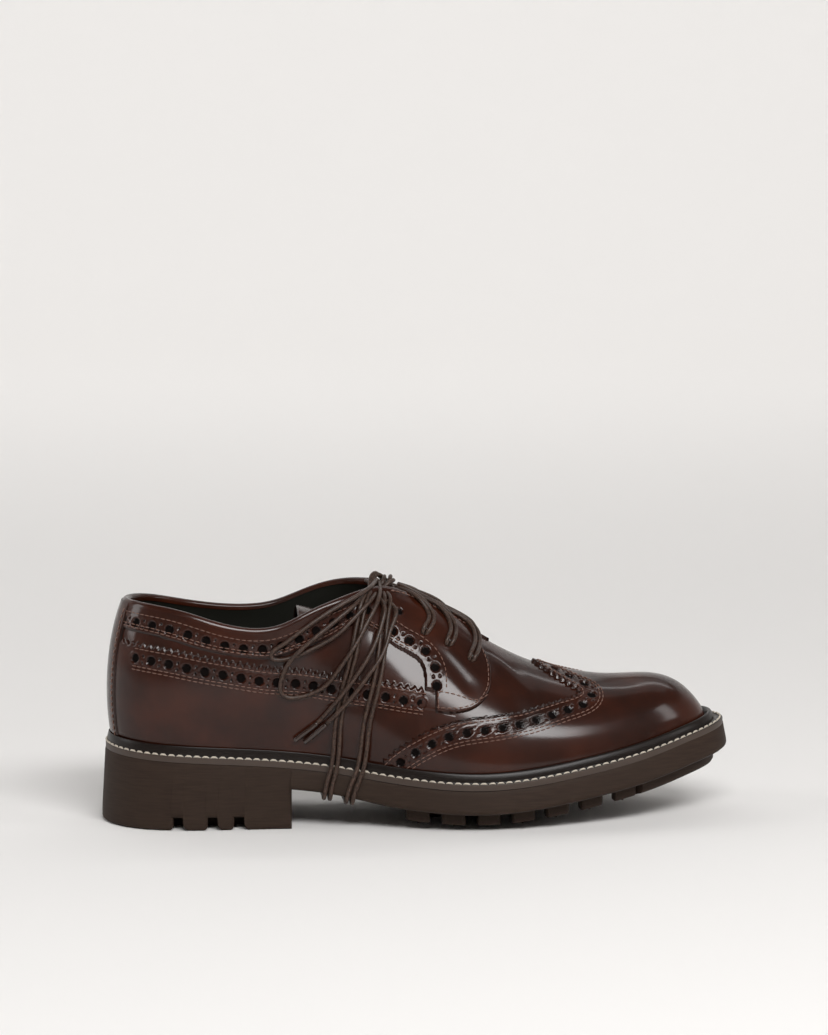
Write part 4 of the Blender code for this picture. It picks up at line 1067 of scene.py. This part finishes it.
# Lugs: rounded blocks whose lower rim is bevelled
def makeLugs():
    points, faces = [], []
    start = 0

    def block(corners, floor):
        nonlocal start
        corners = np.array(corners, float)
        middle = corners.mean(axis=0)
        outline = []
        for k in range(len(corners)):
            before, here, after = corners[k - 1], corners[k], corners[(k + 1) % len(corners)]
            one = here + unit(before - here) * 0.0022
            two = here + unit(after - here) * 0.0022
            for t in np.linspace(0, 1, 5):
                outline.append((1 - t) ** 2 * one + 2 * t * (1 - t) * here + t * t * two)
        outline = np.array(outline)
        left = soleEdge(angle(np.clip(outline[:, 0] / soleLength, 0, 1)), -1)[1]
        right = soleEdge(angle(np.clip(outline[:, 0] / soleLength, 0, 1)), 1)[1]
        part = np.clip((outline[:, 1] - (left + right) / 2) / ((right - left) / 2), -1, 1)
        under = soleUnder(outline[:, 0], part)
        low = np.zeros(len(outline)) if floor else np.maximum(under - lugHeight - 0.0004, 0)
        rings = [(1.0, under + 0.0015), (1.0, low + 0.0013), (0.985, low + 0.0005), (0.94, low), (0.5, low),
                 (0.02, low)]
        for scale, z in rings:
            ring = middle + (outline - middle) * scale
            points.append(np.column_stack([ring, z]))
        count = len(outline)
        for r in range(len(rings) - 1):
            for k in range(count):
                a, b = start + r * count + k, start + r * count + (k + 1) % count
                faces.append((a, b, b + count, a + count))
        start += len(rings) * count

    for side in (-1, 1):
        for k in range(lugCount):
            begin = firstLug + k * lugPitch
            ends = angle(np.array([begin, begin + lugLength]) / soleLength)
            outer = [soleEdge(s, side, lugInset) for s in ends]
            inner = [(x, y - side * lugWidth) for x, y in outer]
            block([outer[0], outer[1], inner[1], inner[0]], False)
    for k in range(lugCount - 1):
        begin = firstLug + (k + 0.5) * lugPitch
        half = centreLugWidth / 2 * (1 - 0.05 * k)
        mid = float(centreLine(begin))
        end = begin + lugLength
        block([(begin, mid - half), (end, mid - half), (end, mid + half), (begin, mid + half)],
              begin < 0.66 * soleLength)
    stations = np.linspace(float(angle(toeLug / soleLength)), 1, 14)
    ring = [(-1, s) for s in stations] + [(1, s) for s in stations[-2::-1]]
    outer = [soleEdge(s, side, lugInset) for side, s in ring]
    inner = [soleEdge(s, side, lugInset + lugWidth) for side, s in ring]
    strips = []
    for depth, drop in ((0.0, 0), (0.0, 1), (0.06, 2), (0.5, 2), (0.94, 2), (1.0, 1), (1.0, 0)):
        line = []
        for (x0, y0), (x1, y1), (side, s) in zip(outer, inner, ring):
            x, y = x0 + (x1 - x0) * depth, y0 + (y1 - y0) * depth
            left, right = soleEdge(angle(x / soleLength), -1)[1], soleEdge(angle(x / soleLength), 1)[1]
            part = np.clip((y - (left + right) / 2) / ((right - left) / 2), -1, 1)
            under = float(soleUnder(x, part))
            z = {0: under + 0.0015, 1: under - lugHeight + 0.0009, 2: under - lugHeight - 0.0004}[drop]
            line.append((x, y, z))
        strips.append(line)
    strips = np.array(strips)
    faces.extend(gridFaces(*strips.shape[:2], start=start).tolist())
    points.append(strips.reshape(-1, 3))
    count, cols = strips.shape[:2]
    for end in (0, cols - 1):
        faces.append(tuple(start + r * cols + end for r in range(count)))
    addPiece("sole_lugs", np.concatenate(points), faces, [rubber])


# Laces: routes on the leather as rows of along, up and layer
laceKnot = {"x": 0.1385, "z": 0.1130, "turns": 2, "pitch": 0.0030, "lean": 0.0012, "height": 0.0042,
            "depth": 0.0050}
barRows = {
    "front": ((0.586, 0.655, 0.1), (0.595, 0.748, 0.1), (0.597, 0.857, 0.2), (0.588, 0.940, 0.4),
              (0.560, 0.990, 1.1), (0.525, 0.995, 1.9)),
    "middle": ((0.549, 0.700, 0.1), (0.556, 0.788, 0.1), (0.553, 0.870, 0.2), (0.537, 0.950, 0.5),
               (0.510, 0.990, 1.1)),
    "back": ((0.510, 0.725, 0.1), (0.520, 0.810, 0.1), (0.515, 0.885, 0.2), (0.500, 0.940, 0.5),
             (0.486, 0.970, 0.9))}
strandStep = 0.0085
loopOneRows = (
    (0.388, 0.972, 0.90), (0.368, 0.962, 0.50), (0.345, 0.942, 0.10), (0.314, 0.905, 0.00),
    (0.284, 0.862, 0.00), (0.264, 0.830, 0.00), (0.2545, 0.797, 0.00), (0.2555, 0.763, 0.00),
    (0.266, 0.733, 0.00), (0.283, 0.715, 0.00), (0.303, 0.708, 0.00), (0.328, 0.718, 0.00),
    (0.352, 0.735, 0.30), (0.373, 0.768, 0.90), (0.392, 0.823, 1.10), (0.406, 0.865, 1.20))
loopTwoRows = (
    (0.425, 0.850, 1.10), (0.411, 0.743, 1.10), (0.401, 0.674, 1.10), (0.391, 0.622, 1.10),
    (0.377, 0.563, 1.00), (0.365, 0.513, 0.80), (0.354, 0.472, 0.40), (0.341, 0.445, 0.10),
    (0.324, 0.428, 0.00), (0.308, 0.424, 0.00), (0.292, 0.434, 0.00), (0.280, 0.464, 0.00),
    (0.2755, 0.510, 0.00), (0.2755, 0.560, 0.10), (0.279, 0.620, 0.50), (0.285, 0.680, 1.10),
    (0.300, 0.738, 1.10), (0.326, 0.795, 1.10), (0.349, 0.838, 1.10), (0.370, 0.878, 1.20))
endOneRows = (
    (0.441, 0.790, 1.10), (0.438, 0.725, 1.10), (0.429, 0.627, 1.10), (0.415, 0.544, 1.10),
    (0.396, 0.463, 1.10), (0.375, 0.386, 1.00), (0.354, 0.312, 0.70), (0.334, 0.246, 0.50),
    (0.321, 0.213, 0.45), (0.298, 0.150, 0.25))
endTwoRows = (
    (0.461, 0.780, 1.10), (0.454, 0.693, 1.10), (0.446, 0.595, 1.10), (0.435, 0.530, 1.10),
    (0.421, 0.476, 1.10), (0.406, 0.418, 1.10), (0.389, 0.358, 1.15), (0.369, 0.298, 1.15),
    (0.351, 0.245, 1.05), (0.338, 0.207, 0.80), (0.3145, 0.138, 0.30))
wrapRows = (
    ((0.402, 0.915, 0.05), (0.398, 0.800, 0.05), (0.392, 0.630, 0.05), (0.384, 0.500, 0.05),
     (0.368, 0.260, 0.10)),
    ((0.411, 0.915, 0.05), (0.407, 0.800, 0.05), (0.401, 0.630, 0.05), (0.393, 0.500, 0.05),
     (0.377, 0.260, 0.10)),
    ((0.443, 0.880, 0.05), (0.441, 0.790, 0.05), (0.437, 0.600, 0.05), (0.426, 0.390, 0.05),
     (0.414, 0.240, 0.10)),
    ((0.453, 0.880, 0.05), (0.451, 0.790, 0.05), (0.447, 0.600, 0.05), (0.436, 0.390, 0.05),
     (0.424, 0.240, 0.10)))
wrapFoot = (0.1066, 0.1094, 0.1171, 0.1200)


def routePoints(rows, side=-1, shift=0.0):
    lifts = [overlay + 2.5 * gap + laceDiameter * (0.5 + 1.12 * layer) for _, _, layer in rows]
    return np.array([lastOffset(float(angle(a + shift)), u, side, d) for (a, u, _), d in zip(rows, lifts)])


def smoothLine(points, spacing):
    points = np.asarray(points, float)
    run = lineRun(points)
    at = np.linspace(0, run[-1], max(2, int(round(run[-1] / spacing)) + 1))
    return np.stack([spline(run, points[:, k])(at) for k in range(3)], axis=-1)


# Tube: rings around a path that lean with it and never twist, closed by a point at both ends
def tubeGrid(path, radius, around=12):
    tangent = unit(np.gradient(path, axis=0))
    axis = [unit(np.cross(tangent[0], (0.35, 0.2, 0.9)))]
    for step in tangent[1:]:
        axis.append(unit(axis[-1] - step * (axis[-1] @ step)))
    axis = np.array(axis)
    other = np.cross(tangent, axis)
    turn = np.arange(around) * 2 * math.pi / around
    circle = np.cos(turn)[None, :, None] * axis[:, None] + np.sin(turn)[None, :, None] * other[:, None]
    rings = path[:, None] + radius * circle
    begin = path[0] + 0.8 * (rings[0] - path[0]) - tangent[0] * 0.3 * radius
    end = path[-1] + 0.8 * (rings[-1] - path[-1]) + tangent[-1] * 0.3 * radius
    tip = path[-1] + 0 * rings[-1] + tangent[-1] * 0.35 * radius
    return np.concatenate([[path[0] + 0 * rings[0]], [begin], rings, [end], [tip]])


def tubeFaces(rows, around, start=0):
    i, j = np.meshgrid(np.arange(rows - 1), np.arange(around), indexing="ij")
    k = (j + 1) % around
    quads = [i * around + j, i * around + k, (i + 1) * around + k, (i + 1) * around + j]
    return np.stack(quads, axis=-1).reshape(-1, 4) + start


def addTubes(name, paths, diameter, surface, replaced, around=12):
    points, faces, start = [], [], 0
    for path in paths:
        grid = tubeGrid(path, diameter / 2, around)
        faces.append(tubeFaces(len(grid), around, start))
        points.append(grid.reshape(-1, 3))
        start += grid.shape[0] * around
    return addPiece(name, np.concatenate(points), np.concatenate(faces), [surface], replaced)


# Route of a strand that runs down the outer side, under the waist and up the inner side
def wrapPoints(rows, foot):
    clear = 3.5 * gap + laceDiameter / 2
    down = routePoints(rows)
    station = float(angle(foot / soleLength))
    left, right = soleEdge(station, -1)[1], soleEdge(station, 1)[1]
    top, bottom = float(seat(foot)), float(seat(foot) - sideDepth(foot))
    leanX = (foot - down[-1][0]) / 3
    corner = 0.75 * clear
    around = [(foot - 1.6 * leanX, left - clear, top - 0.5 * weltThickness),
              (foot - 0.5 * leanX, left - clear, bottom + 0.3 * (top - bottom)),
              (foot, left - corner, bottom - corner)]
    under = []
    for across in (-0.9, -0.5, 0, 0.5, 0.9):
        y = (left + right) / 2 + (right - left) / 2 * across
        under.append((foot, y, float(soleUnder(foot, across)) - clear))
    back = [(x, left + right - y, z) for x, y, z in reversed(around)]
    return np.concatenate([down, around, under, back, routePoints(rows, 1)[::-1]])


def knotPoint(back, side, high):
    return np.array([[laceKnot["x"] - back, side, laceKnot["z"] + high]])


# Laces: strands from the holes up to the knot, the wound knot, bow loops, ends with tips and the
# strands round the waist
def makeLaces():
    strands = []
    hub = knotPoint(-0.006, 0, -0.001)
    for rows in barRows.values():
        for side in (-1, 1):
            for k in (0, 1):
                route = routePoints(rows, side, k * strandStep)
                a, u, _ = rows[0]
                inner = lastOffset(float(angle(a + strandStep * (0.35 + 0.3 * k))), u - 0.025, side, -0.0012)
                near = hub + np.array([[0.001 * k, 0.0016 * side, 0.0012 * k]])
                lift = route[3:4] + (near - route[3:4]) * 0.5 + [0, 0, 0.0006]
                strands.append(smoothLine(np.concatenate([inner[None], route[:4], lift, near]), 0.0016))
    addTubes("laced_strands", strands, laceDiameter, laceCord, ("lace_bars",))
    turn = np.linspace(0.2, laceKnot["turns"] * 2 * math.pi, 90)
    middleTurn = turn / 2 / math.pi - laceKnot["turns"] / 2
    knotX = laceKnot["x"] + 0.001 + laceKnot["pitch"] * middleTurn + laceKnot["lean"] * np.sin(turn)
    knotZ = laceKnot["z"] + laceKnot["height"] * np.sin(turn)
    knotLine = np.stack([knotX, -laceKnot["depth"] * np.cos(turn), knotZ], axis=-1)
    core = smoothLine(np.concatenate([knotPoint(-0.006, 0.002, -0.001), knotPoint(0, 0, 0.001),
                                      knotPoint(0.006, -0.001, 0.002)]), 0.0012)
    over = [knotPoint(0.0055, -0.0030, -0.0045), knotPoint(0.0020, -0.0068, -0.0010),
            knotPoint(-0.0022, -0.0060, 0.0022), knotPoint(-0.0042, -0.0030, 0.0028)]
    knotPaths = [knotLine, core, core + [0, 0.0019, -0.001], smoothLine(np.concatenate(over), 0.0012)]
    knot = addTubes("wound_knot", knotPaths, laceDiameter, laceCord, ("lace_knot",))
    loops = (("lace_loop_1", loopOneRows, (0.004, -0.003, 0.003), (0.004, -0.005, -0.001)),
             ("lace_loop_2", loopTwoRows, (0.003, -0.006, 0.002), (0.005, -0.006, 0.001)))
    for name, rows, begin, end in loops:
        line = smoothLine(np.concatenate([knotPoint(*begin), routePoints(rows), knotPoint(*end)]), 0.0015)
        made = addTubes(name + "_cord", [line], laceDiameter, laceCord, (name,))
    overs = ((0.003, 0.0015, 0.0050), (0.0045, 0.001, 0.0058))
    for k, rows in enumerate((endOneRows, endTwoRows)):
        over = overs[k]
        lead = [knotPoint(over[0] - 0.004, 0.004, 0.002), knotPoint(*over),
                knotPoint(over[0] + 0.003, -0.006, 0.001)]
        whole = smoothLine(np.concatenate(lead + [routePoints(rows)]), 0.0005)
        split = len(whole) - int(tipLength / 0.0005)
        line = whole[:split:3]
        made = addTubes(f"lace_end_{k + 1}_cord", [line], laceDiameter, laceCord,
                        (f"lace_end_{k + 1}",))
        tip = addTubes(f"lace_tip_{k + 1}", [whole[split - 1::3]], tipDiameter, laceTip,
                       (f"aglet_{k + 1}",))
    for k, rows in enumerate(wrapRows):
        begin, end = knotPoint(0.004 + 0.001 * (k % 2), -0.005, -0.001), knotPoint(0.004, 0.006, -0.001)
        line = smoothLine(np.concatenate([begin, wrapPoints(rows, wrapFoot[k]), end]), 0.0018)
        made = addTubes(f"lace_wrap_{k + 1}_cord", [line], laceDiameter, laceCord,
                        (f"lace_wrap_{k + 1}",))


# Direction from the shoe to a place at these angles
def viewDirection(azimuth, elevation):
    level = math.cos(elevation)
    return np.array([math.sin(azimuth) * level, -math.cos(azimuth) * level, math.sin(elevation)])


# Camera: the photograph's view, from the outer side and a little above, framed on 828 by 1035
def makeCamera():
    azimuth, elevation, distance = math.radians(-4.5), math.radians(10), 1.8
    target = np.array([0.153 - heelCentre, 0.0, 0.050])
    place = target + distance * viewDirection(azimuth, elevation)
    pixelsPerMetre, targetRow, pictureHeight, sensorWidth = 2036.0, 711.90, 1035, 36.0
    drop = math.atan((targetRow - pictureHeight / 2) / (pixelsPerMetre * distance))
    tilt = elevation - drop
    forward = -viewDirection(azimuth, tilt)
    focal = pixelsPerMetre * float((target - place) @ forward)
    data = bpy.data.cameras.new("camera")
    data.sensor_fit = "AUTO"
    data.sensor_width = sensorWidth
    data.lens = focal * sensorWidth / pictureHeight
    data.clip_start, data.clip_end = 0.05, 60
    camera = bpy.data.objects.new("camera", data)
    camera.location = place
    camera.rotation_euler = (math.pi / 2 - tilt, 0, azimuth)
    bpy.context.scene.collection.objects.link(camera)
    bpy.context.scene.camera = camera


def addArea(name, place, target, width, height, power):
    data = bpy.data.lights.new(name, "AREA")
    data.shape, data.size, data.size_y, data.energy = "RECTANGLE", width, height, power
    lamp = bpy.data.objects.new(name, data)
    lamp.location = place
    direction = np.array(target, float) - np.array(place, float)
    direction /= np.linalg.norm(direction)
    pitch = math.acos(np.clip(-direction[2], -1, 1))
    lamp.rotation_euler = (pitch, 0, math.atan2(direction[1], direction[0]) - math.pi / 2)
    bpy.context.scene.collection.objects.link(lamp)


# Studio: a pale round sweep that bends up far from the shoe, a dim room, and large soft boxes
def makeStudio():
    studio = {"floor": "#eceae8", "room": 0.08, "radius": 3.0, "bend": 1.2, "height": 3.0}
    pale = newMaterial("pale_floor", studio["floor"], 0.95, Specular_IOR_Level=0.0)[0]
    turn = np.linspace(0, math.pi / 2, 17)
    radius, bend, spokes = studio["radius"], studio["bend"], 96
    out = np.concatenate([[0.01, 1.0], radius + bend * np.sin(turn), [radius + bend]])
    up = np.concatenate([[0, 0], bend * (1 - np.cos(turn)), [studio["height"]]]) - 0.0001
    around = np.linspace(0, 2 * math.pi, spokes + 1)[:-1, None]
    points = np.stack([np.cos(around) * out, np.sin(around) * out,
                       np.broadcast_to(up, (spokes, len(up)))], axis=-1)
    faces = gridFaces(spokes, len(up), wrap=True, turned=True)
    mesh = bpy.data.meshes.new("floor")
    mesh.from_pydata(points.reshape(-1, 3).tolist(), [], faces.tolist())
    mesh.materials.append(pale)
    mesh.shade_smooth()
    floor = bpy.data.objects.new("floor", mesh)
    bpy.context.scene.collection.objects.link(floor)
    world = bpy.data.worlds.new("studio")
    bpy.context.scene.world = world
    world.use_nodes = True
    background = world.node_tree.nodes["Background"]
    background.inputs["Color"].default_value = linear("#f4f3f1")
    background.inputs["Strength"].default_value = studio["room"]
    bpy.context.scene.view_settings.view_transform = "Standard"
    addArea("top_box", (0.1, 1.5, 2.3), (0.1, 1.4, 0.0), 3.4, 2.0, 9)
    addArea("wall_light", (0.1, 1.9, 2.9), (0.1, 4.2, 0.7), 5.0, 1.0, 74)
    addArea("front_box", (0.42, -1.42, 1.36), (0.1, 0.0, 0.06), 1.4, 0.50, 33)
    addArea("left_box", (-1.4, 0.15, 0.70), (0.05, 0.0, 0.05), 0.5, 0.9, 5)
    addArea("right_box", (1.5, -0.5, 0.85), (0.12, 0.0, 0.05), 0.25, 0.8, 3)


makeCamera()
makeStudio()
makeLaces()
upperThread = Thread()
makeShell()
makeThroat()
sideSeams = {side: makeQuarter(side, upperThread) for side in (-1, 1)}
makeWingCap(sideSeams, upperThread)
makeStrap(upperThread)
makeBinding()
makeTongue()
upperThread.finish("upper_stitches", brownThread)
makeInsole()
makeWelt()
makeSole()
makeLugs()
